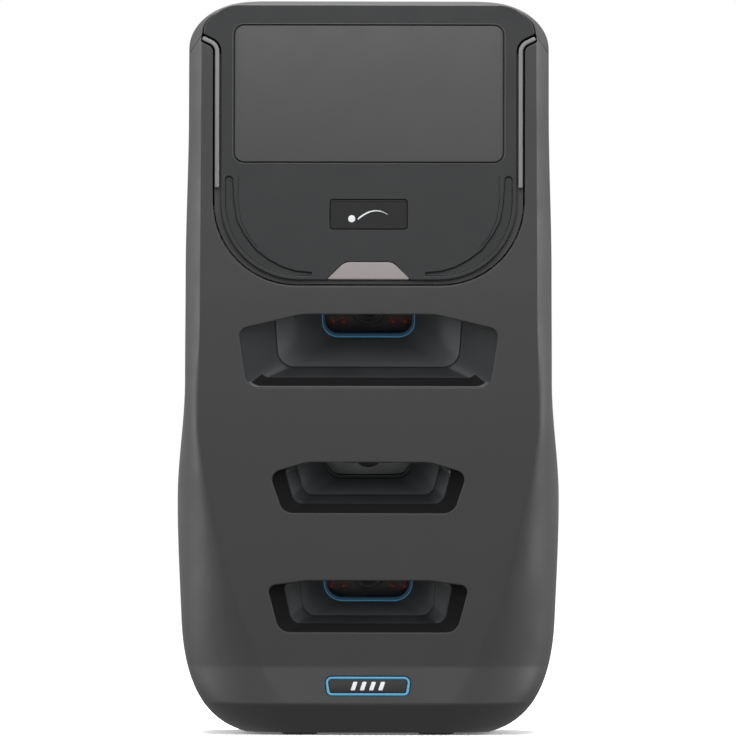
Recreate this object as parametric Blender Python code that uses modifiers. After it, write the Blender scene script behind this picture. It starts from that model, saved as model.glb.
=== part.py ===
"""Golf launch monitor: a standing casing, a tilted display bezel, three hooded cameras and a levelling foot.

All lengths below are in millimetres, and the helpers turn them into metres when they build a mesh.
The front faces -Y, +X is to the right, +Z is up, and the feet stand on z = 0.
"""

import math

import bmesh
import bpy
from mathutils import Matrix

MM = 0.001
NAME = "launch_monitor"

# Casing.
HEIGHT = 311.5
CASE_BOTTOM = 1.0
WALL = 2.4
GAP = 0.3
FRONT_Y = -63.5
REAR_Y = 63.5
SEAM_Y = -22.0
ARM_CUT = ((90.0, 269.1), (68.4, 300.0))
WIDTH_KNOTS = ((0, 78.6), (20, 78.6), (100, 81.0), (150, 77.8), (195, 77.6), (265, 76.3), (310, 76.2))
FLAT_KNOTS = (
    (0, 24), (13.1, 34), (29, 44), (57, 55.7), (83, 62.5), (108, 68.5), (130, 71.8), (190, 71.4), (310, 70.8),
)
BOTTOM_ROUND_HEIGHT = 50.0
BOTTOM_ROUND_WIDTH = 37.5
BOTTOM_ROUND_POWER = 2.4
TOP_ROUND_HEIGHT = 20.5
TOP_ROUND_WIDTH = 29.0
LIP_HEIGHT = 13.1
LIP_SLOPE = 0.8
CHIN_TOP = 29.0
RECESS_TOP = 142.0
RECESS_DEPTH = 3.0
LEAN_START = 185.0
LEAN = math.radians(2.0)
CROWN_START = 304.5
CROWN_DEPTH = 25.0
REAR_LEAN = 14.0
REAR_LEAN_START = 150.0
REAR_LEAN_END = 290.0
REAR_CROWN_START = 284.0
REAR_CROWN_DEPTH = 22.0
REAR_FOOT_HEIGHT = 14.0
REAR_FOOT_DEPTH = 10.0
REAR_RADIUS = 34.0
FRONT_CORNER_DEPTHS = ((0, 24), (100, 24), (150, 10), (310, 8))
LOW_LEVELS = (1.0, 2.6, 5.5, 9.0, 13.1, 20, 29, 38, 48, 57, 83, 95, 108, 130, 142, 150, 185, 235, 275)
TOP_STEPS = 5
CORNER_STEPS = 5

# Display bezel, in the leaning plane of the upper front.
# The outlines of the bezel and of its opening are right halves, from the bottom up.
BEZEL_DEPTHS = (0.5, 4.5)
BEZEL_OUTLINE = (
    (62.75, 192.9, 33), (62.75, 293.5, 6), (70.1, 297.2, 1), (69.4, 302.2, 8), (60.0, 309.6, 14),
)
SHELL_OPENING = (
    (66.05, 190.6, 35.4), (66.05, 291.5, 3), (71.2, 294.1, 1), (70.2, 302.3, 8.4), (60.3, 310.1, 14.4),
)
DISPLAY = (56.9, 243.0, 300.9, 4.0)
DISPLAY_LEDGE = 3.5
DISPLAY_MODULE = (58.5, 240.0, 303.0)
BADGE = (16.3, 214.6, 226.9, 1.2)
STATUS_LENS = ((-17.9, 193.1, 0.5), (17.9, 193.1, 0.5), (10.2, 200.6, 6), (-10.2, 200.6, 6))
BEZEL_SKIRT = (
    (-65.5, 191.15, 34.9), (65.5, 191.15, 34.9), (65.5, 289.0, 1), (61.5, 289.0, 1),
    (61.5, 194.2, 31.5), (-61.5, 194.2, 31.5), (-61.5, 289.0, 1), (-65.5, 289.0, 1),
)
SKIRT_DEPTHS = (3.5, 4.3)
TRIM_OUTLINE = (
    (65.25, 232.0, 0.4), (65.25, 291.95, 3.5), (70.8, 294.7, 0.3),
    (70.0, 296.3, 0.3), (63.45, 293.05, 5.3), (63.45, 232.0, 0.4),
)
TRIM_DEPTHS = (0.2, 3.2)

# Lower badge on the chin.
LOWER_BADGE = ((-17.2, 16.8, 2.2), (17.2, 16.8, 2.2), (18.2, 25.0, 2.6), (-18.2, 25.0, 2.6))
LOWER_BADGE_RIM = 1.1

# Camera apertures: the mouth, sill and throat are (x, z, radius) corners seen from the front, as right halves
# from the bottom up, and the window is (u, v, radius) in its own tilted plane above its lower edge.
APERTURES = {
    "upper": {
        "mouth": ((51.6, 147.4, 6), (55.2, 171.9, 4), (28, 178.3, 30)),
        "sill": ((46.5, 151.6, 5), (48.0, 176.0, 4), (26, 182.0, 20)),
        "throat": ((38.6, 155.8, 7), (40.6, 181.0, 4), (22, 187.0, 12)),
        "window": ((19.7, 0, 7), (19.9, 27.0, 5), (12, 31.0, 8)),
        "window_z": 168.6,
        "window_depth": 30.0,
        "look_down": math.radians(20),
        "lens_v": 11.0,
        "lens_radius": 7.3,
    },
    "middle": {
        "mouth": ((36.2, 94.2, 6), (41.8, 110.9, 4), (26, 115.6, 20)),
        "sill": ((31.4, 98.2, 5), (35.6, 114.0, 4), (22, 118.5, 14)),
        "throat": ((27.4, 101.8, 5), (31.6, 117.0, 4), (17, 121.5, 10)),
        "window": ((18.6, 0, 7), (19.2, 20.0, 5), (11, 23.0, 8)),
        "window_z": 108.6,
        "window_depth": 24.0,
        "look_down": math.radians(18),
        "lens_v": 10.0,
        "lens_radius": 6.6,
    },
    "lower": {
        "mouth": ((37.6, 43.7, 6), (42.8, 63.2, 3), (26, 65.5, 14)),
        "sill": ((32.4, 47.4, 5), (36.0, 65.0, 4), (23, 68.5, 10)),
        "throat": ((27.6, 50.5, 6), (29.4, 68.0, 4), (18, 72.0, 8)),
        "window": ((18.4, 0, 8), (19.6, 20.0, 5), (11, 23.0, 8)),
        "window_z": 56.5,
        "window_depth": 24.0,
        "look_down": math.radians(16),
        "lens_v": 10.5,
        "lens_radius": 6.6,
    },
}
MOUTH_GAP = 1.3
MOUTH_MARGIN = 0.3
WINDOW_MARGIN = 2.2
SILL_DEPTH = 7.0
THROAT_DEPTH = 11.0
HOOD_WALL = 1.5
RING_RIM = 1.3
RING_DEPTHS = (1.3, 2.6)
WINDOW_DEPTHS = (2.9, 4.7)
LED_DEPTHS = (7.2, 8.4)
LAMP_COLUMNS = (10.6, 15.4)
LAMP_ROWS = (5.0, 11.0)
LAMP_RADIUS = 1.8
LENS_DEPTHS = (5.1, 24.0)
CAMERA_BOARD_DEPTHS = (24.3, 25.9)
CAMERA_BOARD_HALF = 11.0
CRADLE_HALF = 8.0

# Chassis and electronics.
FRAME_Y = (-3.0, 0.0)
FRAME_HALF = 70.0
FRAME_Z = (6.3, 226.0)
MAIN_BOARD = ((-50, 9.0, 62), (50, 10.6, 216))
HEAT_SINK_Z = (132.0, 196.0)
BATTERY = ((-40, 28.0, 136), (40, 46.0, 226))
SCREW_PLACES = ((62, 34), (-62, 34), (66, 186), (-66, 186))
BOSS_RADIUS = 4.5
BOSS_END_Y = -3.3
SCREW_BORE = 1.8
SCREW_TUBE_RADIUS = 5.5
HEAD_BORE_RADIUS = 3.7
SCREW_SEAT_Y = 6.0
CASE_SCREW_Y = 9.3

# Rear: ports, power button, vents and handle.
BAY_HALF = 34.0
BAY_Z = (55.5, 104.0)
BAY_BACK_Y = 36.0
BAY_WALL = 1.8
HINGE_Y = 60.9
HINGE_Z = 60.2
KNUCKLE_RADIUS = 2.2
KNUCKLE_HALF = 15.0
PIN_RADIUS = 0.9
PORT_BOARD_Y = (26.0, 27.6)
JACK = (-17.0, 80.0, 8.0, 6.8)
USB_PORT = (3.0, 76.0, 4.5, 1.7)
INLET = (20.0, 79.0, 5.5)
BUTTON_PLACE = (-32.0, 124.0)
BUTTON_RADIUS = 7.0
VENT_COUNT = 5
VENT_Z = 158.0
VENT_PITCH = 8.0
VENT_HALF = 26.0
VENT_HEIGHT = 2.4
TRAY_HALF = 41.6
TRAY_Z = (234.4, 285.6)
TRAY_FRONT_Y = 14.4
TRAY_WALL = 1.6
GRIP_Y = 42.5
GRIP_Z = 268.0

# Base and feet.
BASE_OUTLINE = ((-38, -44, 10), (38, -44, 10), (38, 50, 10), (-38, 50, 10))
BASE_FLANGE = 4.0
BASE_TOP = 6.0
FOOT_Y = 38.5
POST_RADIUS = 4.0
WHEEL_RADIUS = 21.5
WHEEL_Z = (9.0, 15.0)
WHEEL_TEETH = 36
WHEEL_TOOTH = 0.9
WHEEL_SLOT_HALF = 19.0
WHEEL_CLEARANCE = 1.8
PAD_RADIUS = 9.0
FRONT_FOOT = (29.0, -36.0)
BASE_SCREW_PLACES = ((28, -14), (-28, -14), (28, 12), (-28, 12))


# ---------------------------------------------------------------- scene and materials

def clear_scene():
    for obj in list(bpy.data.objects):
        bpy.data.objects.remove(obj, do_unlink=True)


def new_collection(name):
    collection = bpy.data.collections.new(name)
    bpy.context.scene.collection.children.link(collection)
    return collection


def new_look(name, colour, roughness, metallic=0.0):
    look = bpy.data.materials.new(name)
    look.use_nodes = True
    shader = look.node_tree.nodes["Principled BSDF"]
    shader.inputs["Base Color"].default_value = (*colour, 1.0)
    shader.inputs["Roughness"].default_value = roughness
    shader.inputs["Metallic"].default_value = metallic
    return look


clear_scene()
PARTS = new_collection(NAME)
CUTTERS = new_collection("cutters")
CUTTERS.hide_render = True
LOOKS = {
    "shell": new_look("shell", (0.062, 0.062, 0.063), 0.5),
    "bezel": new_look("bezel", (0.045, 0.048, 0.052), 0.45),
    "display": new_look("display", (0.1, 0.1, 0.1), 0.4),
    "trim": new_look("trim", (0.15, 0.15, 0.15), 0.45),
    "hood": new_look("hood", (0.02, 0.021, 0.023), 0.3),
    "lens": new_look("lens", (0.005, 0.005, 0.006), 0.1),
    "window": new_look("window", (0.02, 0.012, 0.012), 0.05),
    "blue": new_look("blue", (0.03, 0.2, 0.6), 0.3),
    "light": new_look("light", (0.35, 0.31, 0.31), 0.35),
    "badge": new_look("badge", (0.02, 0.021, 0.024), 0.35),
    "board": new_look("board", (0.02, 0.09, 0.04), 0.5),
    "metal": new_look("metal", (0.6, 0.61, 0.62), 0.4, 1.0),
    "steel": new_look("steel", (0.5, 0.5, 0.51), 0.3, 1.0),
    "battery": new_look("battery", (0.05, 0.09, 0.2), 0.5),
    "rubber": new_look("rubber", (0.02, 0.02, 0.02), 0.8),
}


# ---------------------------------------------------------------- outlines and frames

def smooth(t):
    t = max(0.0, min(1.0, t))
    return t * t * (3.0 - 2.0 * t)


def between(z, knots, ease=smooth):
    """The value at height z of a line through the knots, each a (height, value) pair."""
    for (z0, v0), (z1, v1) in zip(knots, knots[1:]):
        if z <= z1:
            return v0 + (v1 - v0) * ease((z - z0) / (z1 - z0))
    return knots[-1][1]


def rounded(corners, steps=3):
    """A closed outline through the corners, each (x, y, radius), with an arc at each corner."""
    outline = []
    for index, (x, y, radius) in enumerate(corners):
        before = corners[index - 1]
        after = corners[(index + 1) % len(corners)]
        to_before = math.atan2(before[1] - y, before[0] - x)
        to_after = math.atan2(after[1] - y, after[0] - x)
        half = ((to_before - to_after) % (2 * math.pi)) / 2
        turn = math.pi - 2 * half
        inwards = to_after + half + (math.pi if turn < 0 else 0.0)
        reach = radius / math.sin(half)
        centre = (x + reach * math.cos(inwards), y + reach * math.sin(inwards))
        for step in range(steps + 1):
            angle = inwards + math.pi - turn / 2 + turn * step / steps
            outline.append((centre[0] + radius * math.cos(angle), centre[1] + radius * math.sin(angle)))
    return outline


def rectangle(half, low, high, radius, middle=0.0):
    return rounded((
        (middle - half, low, radius),
        (middle + half, low, radius),
        (middle + half, high, radius),
        (middle - half, high, radius),
    ))


def circle(radius, x=0.0, y=0.0, steps=20):
    turns = [2 * math.pi * step / steps for step in range(steps)]
    return [(x + radius * math.cos(turn), y + radius * math.sin(turn)) for turn in turns]


def grown(corners, margin):
    """The rounded corners of a convex outline moved outwards by the margin, or inwards by a negative one."""
    middle_x = sum(corner[0] for corner in corners) / len(corners)
    middle_y = sum(corner[1] for corner in corners) / len(corners)
    moved = []
    for x, y, radius in corners:
        new_x = x + margin * math.copysign(1.0, x - middle_x)
        new_y = y + margin * math.copysign(1.0, y - middle_y)
        moved.append((new_x, new_y, radius + margin))
    return tuple(moved)


def mirrored(corners):
    """Both halves of an outline given by its right half from the bottom up."""
    return tuple(corners) + tuple((-x, z, radius) for x, z, radius in reversed(corners))


def facing_front(x, y, z, tilt=0.0):
    """A frame whose outline plane faces the front, tilted to look down by the given angle."""
    return Matrix.Translation((x * MM, y * MM, z * MM)) @ Matrix.Rotation(math.pi / 2 + tilt, 4, "X")


def facing_rear(x, y, z):
    """A frame whose outline plane faces the rear, with its first axis along -X."""
    turn = Matrix.Rotation(math.pi, 4, "Z") @ Matrix.Rotation(math.pi / 2, 4, "X")
    return Matrix.Translation((x * MM, y * MM, z * MM)) @ turn


def facing_side(x, y, z):
    """A frame whose outline plane faces +X, with its first axis along +Y."""
    turn = Matrix.Rotation(math.pi / 2, 4, "Z") @ Matrix.Rotation(math.pi / 2, 4, "X")
    return Matrix.Translation((x * MM, y * MM, z * MM)) @ turn


def facing_up(x=0.0, y=0.0, z=0.0):
    return Matrix.Translation((x * MM, y * MM, z * MM))


# ---------------------------------------------------------------- solids

def add_object(name, mesh, look, frame, smooth_angle=32):
    obj = bpy.data.objects.new(name, mesh)
    PARTS.objects.link(obj)
    obj.matrix_world = frame
    if look:
        mesh.materials.append(LOOKS[look])
    mesh.shade_smooth()
    mesh.set_sharp_from_angle(angle=math.radians(smooth_angle))
    return obj


def from_bmesh(name, shape, look, frame=None):
    bmesh.ops.recalc_face_normals(shape, faces=shape.faces)
    mesh = bpy.data.meshes.new(name)
    shape.to_mesh(mesh)
    shape.free()
    return add_object(name, mesh, look, frame or Matrix.Identity(4))


def box(name, low, high, look=None):
    middle = [(a + b) / 2 * MM for a, b in zip(low, high)]
    size = [(b - a) * MM for a, b in zip(low, high)]
    shape = bmesh.new()
    bmesh.ops.create_cube(shape, size=1.0, matrix=Matrix.Diagonal((*size, 1.0)))
    return from_bmesh(name, shape, look, Matrix.Translation(middle))


def cylinder(name, radius, near, far, frame, look=None, steps=24):
    """A cylinder along the frame's normal, between two depths behind its plane."""
    shape = bmesh.new()
    depth = (far - near) * MM
    bmesh.ops.create_cone(
        shape, cap_ends=True, segments=steps, radius1=radius * MM, radius2=radius * MM, depth=depth
    )
    return from_bmesh(name, shape, look, frame @ Matrix.Translation((0, 0, -(near + far) / 2 * MM)))


def plate(name, outlines, near, far, frame, look=None):
    """A flat piece between two depths behind the frame: the first outline is its edge, the rest are holes."""
    curve = bpy.data.curves.new(name, "CURVE")
    curve.dimensions = "2D"
    curve.fill_mode = "BOTH"
    curve.extrude = (far - near) / 2 * MM
    for outline in outlines:
        spline = curve.splines.new("POLY")
        spline.points.add(len(outline) - 1)
        for point, (u, v) in zip(spline.points, outline):
            point.co = (u * MM, v * MM, 0.0, 1.0)
        spline.use_cyclic_u = True
    curved = bpy.data.objects.new(name, curve)
    PARTS.objects.link(curved)
    bpy.context.view_layer.update()
    graph = bpy.context.evaluated_depsgraph_get()
    mesh = bpy.data.meshes.new_from_object(curved.evaluated_get(graph))
    bpy.data.objects.remove(curved, do_unlink=True)
    shape = bmesh.new()
    shape.from_mesh(mesh)
    bmesh.ops.remove_doubles(shape, verts=shape.verts, dist=1e-6)
    return from_bmesh(name, shape, look, frame @ Matrix.Translation((0, 0, -(near + far) / 2 * MM)))


def turned(name, profile, frame, look, steps=20):
    """A turned piece: the profile is (radius, depth) pairs down its outer side, from front to back."""
    mesh = bpy.data.meshes.new(name)
    points = [(radius * MM, 0.0, -depth * MM) for radius, depth in profile]
    mesh.from_pydata(points, [(i, i + 1) for i in range(len(points) - 1)], [])
    obj = add_object(name, mesh, look, frame)
    screw = obj.modifiers.new("turn", "SCREW")
    screw.steps = steps
    screw.render_steps = steps
    screw.use_merge_vertices = True
    screw.merge_threshold = 1e-5
    screw.use_smooth_shade = True
    return obj


def loft(name, rings, look=None, caps=True):
    """A skin through rings of the same number of points."""
    shape = bmesh.new()
    rows = [[shape.verts.new([value * MM for value in point]) for point in ring] for ring in rings]
    count = len(rows[0])
    for low, high in zip(rows, rows[1:]):
        for i in range(count):
            j = (i + 1) % count
            shape.faces.new((low[i], low[j], high[j], high[i]))
    if caps:
        shape.faces.new(reversed(rows[0]))
        shape.faces.new(rows[-1])
    return from_bmesh(name, shape, look)


def boolean(obj, other, operation):
    """Combines obj with other, which then is a hidden helper."""
    if other.name in PARTS.objects:
        PARTS.objects.unlink(other)
        CUTTERS.objects.link(other)
    other.hide_render = True
    other.display_type = "WIRE"
    step = obj.modifiers.new(f"{operation.lower()} {other.name}", "BOOLEAN")
    step.operation = operation
    step.object = other
    step.solver = "EXACT"


def cut(obj, *cutters):
    for cutter in cutters:
        boolean(obj, cutter, "DIFFERENCE")


def join(obj, *others):
    for other in others:
        boolean(obj, other, "UNION")


def keep(obj, zone):
    boolean(obj, zone, "INTERSECT")


def bevel(obj, width, steps=2):
    step = obj.modifiers.new("bevel", "BEVEL")
    step.width = width * MM
    step.segments = steps
    step.limit_method = "ANGLE"
    step.angle_limit = math.radians(40)


# ---------------------------------------------------------------- casing form

def quarter(t, power=2.0):
    """How far a rounded edge has turned in, from 0 where it starts to 1 at its end."""
    t = max(0.0, min(1.0, t))
    return 1.0 - (1.0 - t ** power) ** (1.0 / power)


def half_width(z):
    low = quarter((BOTTOM_ROUND_HEIGHT - z) / BOTTOM_ROUND_HEIGHT, BOTTOM_ROUND_POWER)
    high = quarter((z - HEIGHT + TOP_ROUND_HEIGHT) / TOP_ROUND_HEIGHT)
    return between(z, WIDTH_KNOTS) - BOTTOM_ROUND_WIDTH * low - TOP_ROUND_WIDTH * high


def front_y(z):
    if z < LIP_HEIGHT:
        return FRONT_Y + LIP_SLOPE * (LIP_HEIGHT - z)
    if z < CHIN_TOP:
        return FRONT_Y + RECESS_DEPTH * (z - LIP_HEIGHT) / (CHIN_TOP - LIP_HEIGHT)
    recess = RECESS_DEPTH * max(0.0, (RECESS_TOP - z) / (RECESS_TOP - CHIN_TOP)) ** 1.5
    lean = math.tan(LEAN) * max(0.0, z - LEAN_START)
    crown = CROWN_DEPTH * quarter((z - CROWN_START) / (HEIGHT - CROWN_START))
    return FRONT_Y + recess + lean + crown


def rear_y(z):
    foot = REAR_FOOT_DEPTH * quarter((REAR_FOOT_HEIGHT - z) / REAR_FOOT_HEIGHT)
    lean = REAR_LEAN * smooth((z - REAR_LEAN_START) / (REAR_LEAN_END - REAR_LEAN_START))
    crown = REAR_CROWN_DEPTH * quarter((z - REAR_CROWN_START) / (HEIGHT - REAR_CROWN_START))
    return REAR_Y - foot - lean - crown


def casing_ring(z, at_z, inset):
    """The casing's section at height z, made smaller by the inset and placed at height at_z."""
    half = half_width(z) - inset
    flat = min(between(z, FLAT_KNOTS, ease=float), half_width(z) - 5.0) - inset / 2
    depth = between(z, FRONT_CORNER_DEPTHS)
    front = front_y(z) + inset
    rear = rear_y(z) - inset
    radius = REAR_RADIUS - inset
    right = []
    for step in range(CORNER_STEPS + 1):
        angle = math.pi / 2 * step / CORNER_STEPS
        x = flat + (half - flat) * math.sin(angle)
        right.append((x, front + depth * (1 - math.cos(angle)), at_z))
    for step in range(CORNER_STEPS + 1):
        angle = math.pi / 2 * step / CORNER_STEPS
        x = half - radius + radius * math.cos(angle)
        right.append((x, rear - radius + radius * math.sin(angle), at_z))
    return right + [(-x, y, z) for x, y, z in reversed(right)]


def casing_levels():
    start = HEIGHT - TOP_ROUND_HEIGHT
    turns = [math.pi / 2 * step / TOP_STEPS for step in range(TOP_STEPS + 1)]
    return list(LOW_LEVELS) + [start + TOP_ROUND_HEIGHT * math.sin(turn) for turn in turns]


def casing_form(name, inset, look=None):
    """The casing's outer form as a solid, or a smaller copy of it with its surface moved in by the inset."""
    shrink = (HEIGHT - CASE_BOTTOM - 2 * inset) / (HEIGHT - CASE_BOTTOM)
    rings = []
    for z in casing_levels():
        rings.append(casing_ring(z, CASE_BOTTOM + inset + (z - CASE_BOTTOM) * shrink, inset))
    return loft(name, rings, look)


def front_zone(name, margin):
    """The space of the front shell: ahead of the seam, and below the slanting ends of its two arms."""
    (low_x, low_z), (high_x, high_z) = ARM_CUT
    corners = (
        (-low_x, -10), (low_x, -10), (low_x, low_z + margin), (high_x, high_z + margin),
        (-high_x, high_z + margin), (-low_x, low_z + margin),
    )
    return plate(name, [corners], -10, SEAM_Y - FRONT_Y + margin, facing_front(0, FRONT_Y, 0))


def bezel_frame():
    """The leaning plane of the upper front; outlines in it use heights above the ground."""
    drop = Matrix.Translation((0, -LEAN_START * MM, 0))
    return facing_front(0, FRONT_Y, LEAN_START, -LEAN) @ drop


def chin_frame():
    """The plane of the sloping chin; outlines in it use heights above the ground."""
    z = (LIP_HEIGHT + CHIN_TOP) / 2
    slope = math.atan2(RECESS_DEPTH, CHIN_TOP - LIP_HEIGHT)
    return facing_front(0, front_y(z), z, -slope) @ Matrix.Translation((0, -z * MM, 0))


def mouth_corners(aperture, margin=0.0):
    return grown(mirrored(aperture["mouth"]), margin)


# ---------------------------------------------------------------- shells

def build_front_shell():
    shell = casing_form("front_shell", 0.0, "shell")
    cut(shell, casing_form("front_hollow", WALL))
    keep(shell, front_zone("front_space", 0.0))
    limit = casing_form("boss_limit", WALL / 2)
    for index, (x, z) in enumerate(SCREW_PLACES):
        place = facing_front(x, 0, z)
        boss = cylinder(f"front_boss_{index}", BOSS_RADIUS, FRONT_Y, BOSS_END_Y, place, steps=12)
        keep(boss, limit)
        join(shell, boss)
    cut(shell, plate("bezel_mouth", [rounded(mirrored(SHELL_OPENING), 5)], -12, 14, bezel_frame()))
    for key, aperture in APERTURES.items():
        outline = rounded(mouth_corners(aperture))
        cut(shell, plate(f"{key}_mouth", [outline], -12, 8, facing_front(0, FRONT_Y, 0)))
    cut(shell, plate("badge_seat", [rounded(grown(LOWER_BADGE, GAP))], -5, 5, chin_frame()))
    for index, (x, z) in enumerate(SCREW_PLACES):
        cut(shell, cylinder(f"front_bore_{index}", SCREW_BORE, -26, 0, facing_front(x, 0, z), steps=10))
    cut(shell, base_opening("front_base_opening"))
    return shell


def base_opening(name):
    return plate(name, [rounded(grown(BASE_OUTLINE, GAP))], -8, 8, facing_up(0, 0, CASE_BOTTOM))


def build_rear_shell():
    shell = casing_form("rear_shell", 0.0, "shell")
    cut(shell, casing_form("rear_hollow", WALL))
    cut(shell, front_zone("rear_space", GAP))
    limit = casing_form("tube_limit", WALL / 2)
    for index, (x, z) in enumerate(SCREW_PLACES):
        frame = facing_rear(x, REAR_Y, z)
        tube = cylinder(f"screw_tube_{index}", SCREW_TUBE_RADIUS, 0, REAR_Y + BOSS_END_Y, frame, steps=12)
        keep(tube, limit)
        join(shell, tube)
    opening = rounded(mirrored(SHELL_OPENING), 5)
    cut(shell, plate("bezel_space", [opening], -12, BEZEL_DEPTHS[1] + GAP, bezel_frame()))
    for index, (x, z) in enumerate(SCREW_PLACES):
        frame = facing_rear(x, REAR_Y, z)
        seat = REAR_Y - SCREW_SEAT_Y
        cut(shell, cylinder(f"head_bore_{index}", HEAD_BORE_RADIUS, -5, seat, frame, steps=12))
        cut(shell, cylinder(f"shank_bore_{index}", SCREW_BORE, REAR_Y - 10.0, REAR_Y, frame, steps=10))
    rear = facing_rear(0, REAR_Y, 0)
    cut(shell, plate("bay_opening", [rectangle(BAY_HALF, BAY_Z[0], BAY_Z[1], 3)], -5, 12, rear))
    tray = rectangle(TRAY_HALF + GAP, TRAY_Z[0] - GAP, TRAY_Z[1] + GAP, 6)
    cut(shell, plate("tray_opening", [tray], -5, 40, rear))
    button = facing_rear(BUTTON_PLACE[0], REAR_Y, BUTTON_PLACE[1])
    cut(shell, cylinder("button_hole", BUTTON_RADIUS + GAP, -5, 12, button))
    for index in range(VENT_COUNT):
        z = VENT_Z + index * VENT_PITCH
        slot = rectangle(VENT_HALF, z, z + VENT_HEIGHT, VENT_HEIGHT / 2)
        cut(shell, plate(f"vent_{index}", [slot], -5, 14, rear))
    slot = rectangle(WHEEL_SLOT_HALF, WHEEL_Z[0] - WHEEL_CLEARANCE, WHEEL_Z[1] + WHEEL_CLEARANCE, 3)
    cut(shell, plate("wheel_slot", [slot], -5, 12, rear))
    cut(shell, base_opening("rear_base_opening"))
    return shell


# ---------------------------------------------------------------- display bezel and badges

def build_bezel():
    frame = bezel_frame()
    half, low, high, radius = DISPLAY
    ledge = rectangle(half - DISPLAY_LEDGE, low + DISPLAY_LEDGE, high - DISPLAY_LEDGE, 2)
    edge = rounded(mirrored(BEZEL_OUTLINE), 5)
    bezel = plate("display_bezel", [edge, ledge], *BEZEL_DEPTHS, frame, "bezel")
    pocket = rectangle(half + GAP, low - GAP, high + GAP, radius + GAP)
    cut(bezel, plate("display_pocket", [pocket], -1, 2.6, frame))
    join(bezel, plate("bezel_skirt", [rounded(BEZEL_SKIRT, 5)], *SKIRT_DEPTHS, frame))
    hole = [(x, z, corner[2]) for (x, z, _), corner in zip(grown(STATUS_LENS, GAP), STATUS_LENS)]
    cut(bezel, plate("lens_hole", [rounded(hole)], -1, 6, frame))
    half, low, high, radius = BADGE
    seat = rectangle(half + GAP, low - GAP, high + GAP, radius + GAP)
    cut(bezel, plate("upper_badge_seat", [seat], -1, 2.4, frame))


def build_display():
    frame = bezel_frame()
    half, low, high, radius = DISPLAY
    plate("display_window", [rectangle(half, low, high, radius)], 0.8, 2.3, frame, "display")
    half, low, high = DISPLAY_MODULE
    plate("display_module", [rectangle(half, low, high, 2)], 4.8, 10.0, frame, "metal")
    half, low, high, radius = BADGE
    plate("upper_badge", [rectangle(half, low, high, radius)], 0.9, 2.1, frame, "badge")
    plate("status_light_lens", [rounded(STATUS_LENS)], 0.4, 4.5, frame, "light")
    plate("status_light_board", [rectangle(21, 192.2, 205.0, 1)], 4.8, 6.4, frame, "board")


def build_trims():
    """Two narrow strips in the gap between the bezel and the arms of the front shell."""
    right = rounded(TRIM_OUTLINE, 4)
    left = [(-x, z) for x, z in reversed(right)]
    for name, outline in (("trim_left", left), ("trim_right", right)):
        plate(name, [outline], *TRIM_DEPTHS, bezel_frame(), "trim")


def build_lower_badge():
    frame = chin_frame()
    outer = rounded(LOWER_BADGE)
    inner = rounded(grown(LOWER_BADGE, -LOWER_BADGE_RIM))
    plate("lower_badge_ring", [outer, inner], 0.1, 2.6, frame, "blue")
    plate("lower_badge", [rounded(grown(LOWER_BADGE, -LOWER_BADGE_RIM - GAP))], 0.4, 2.6, frame, "badge")


# ---------------------------------------------------------------- camera apertures

def camera_frame(aperture):
    """The tilted plane of an aperture's window, with its origin at the middle of the window's lower edge."""
    z = aperture["window_z"]
    return facing_front(0, front_y(z) + aperture["window_depth"], z, aperture["look_down"])


def ring_at(corners, depth):
    return [(x, front_y(z) + depth, z) for x, z in rounded(corners)]


def build_hood(key, aperture):
    """The dark funnel that leads from the mouth in the front shell to the camera's window."""
    frame = camera_frame(aperture)
    rings = [
        ring_at(mouth_corners(aperture, MOUTH_MARGIN), WALL + MOUTH_GAP),
        ring_at(mirrored(aperture["sill"]), SILL_DEPTH),
        ring_at(mirrored(aperture["throat"]), THROAT_DEPTH),
        [tuple((frame @ Matrix.Translation((u * MM, v * MM, 0))).translation / MM)
         for u, v in rounded(mirrored(aperture["window"]))],
    ]
    hood = loft(f"{key}_hood", rings, "hood", caps=False)
    skin = hood.modifiers.new("wall", "SOLIDIFY")
    skin.thickness = HOOD_WALL * MM
    skin.offset = 1.0
    skin.use_even_offset = False


def build_camera(key, aperture):
    frame = camera_frame(aperture)
    corners = mirrored(aperture["window"])
    outer = rounded(grown(corners, WINDOW_MARGIN))
    inner = rounded(grown(corners, -RING_RIM))
    plate(f"{key}_ring", [outer, inner], *RING_DEPTHS, frame, "hood" if key == "middle" else "blue")
    plate(f"{key}_window", [outer], *WINDOW_DEPTHS, frame, "window")
    lens_v = aperture["lens_v"]
    radius = aperture["lens_radius"]
    lens_frame = frame @ Matrix.Translation((0, lens_v * MM, 0))
    front, back = LENS_DEPTHS
    profile = (
        (0, front + 1.6), (radius * 0.55, front + 0.9), (radius * 0.7, front), (radius, front),
        (radius, front + 9), (radius + 1.2, front + 10), (radius + 1.2, back), (0, back),
    )
    turned(f"{key}_lens", profile, lens_frame, "lens")
    half = CAMERA_BOARD_HALF
    board = rectangle(half, lens_v - half, lens_v + half, 1)
    plate(f"{key}_camera_board", [board], *CAMERA_BOARD_DEPTHS, frame, "board")


def build_led_board(key, aperture):
    """The board with the infrared lamps on both sides of the lens."""
    frame = camera_frame(aperture)
    lens_v = aperture["lens_v"]
    hole = circle(aperture["lens_radius"] + 0.6, 0, lens_v, 20)
    outline = rectangle(20.0, -1.0, lens_v * 2 + 1.0, 2)
    board = plate(f"{key}_led_board", [outline, hole], *LED_DEPTHS, frame, "board")
    for side in (-1, 1):
        for column, reach in enumerate(LAMP_COLUMNS):
            for row, v in enumerate(LAMP_ROWS):
                place = frame @ Matrix.Translation((side * reach * MM, v * MM, 0))
                name = f"{key}_lamp_{'l' if side < 0 else 'r'}{column}{row}"
                near = LED_DEPTHS[0] - 1.6
                join(board, cylinder(name, LAMP_RADIUS, near, near + 2.0, place, steps=10))


# ---------------------------------------------------------------- chassis and electronics

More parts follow.
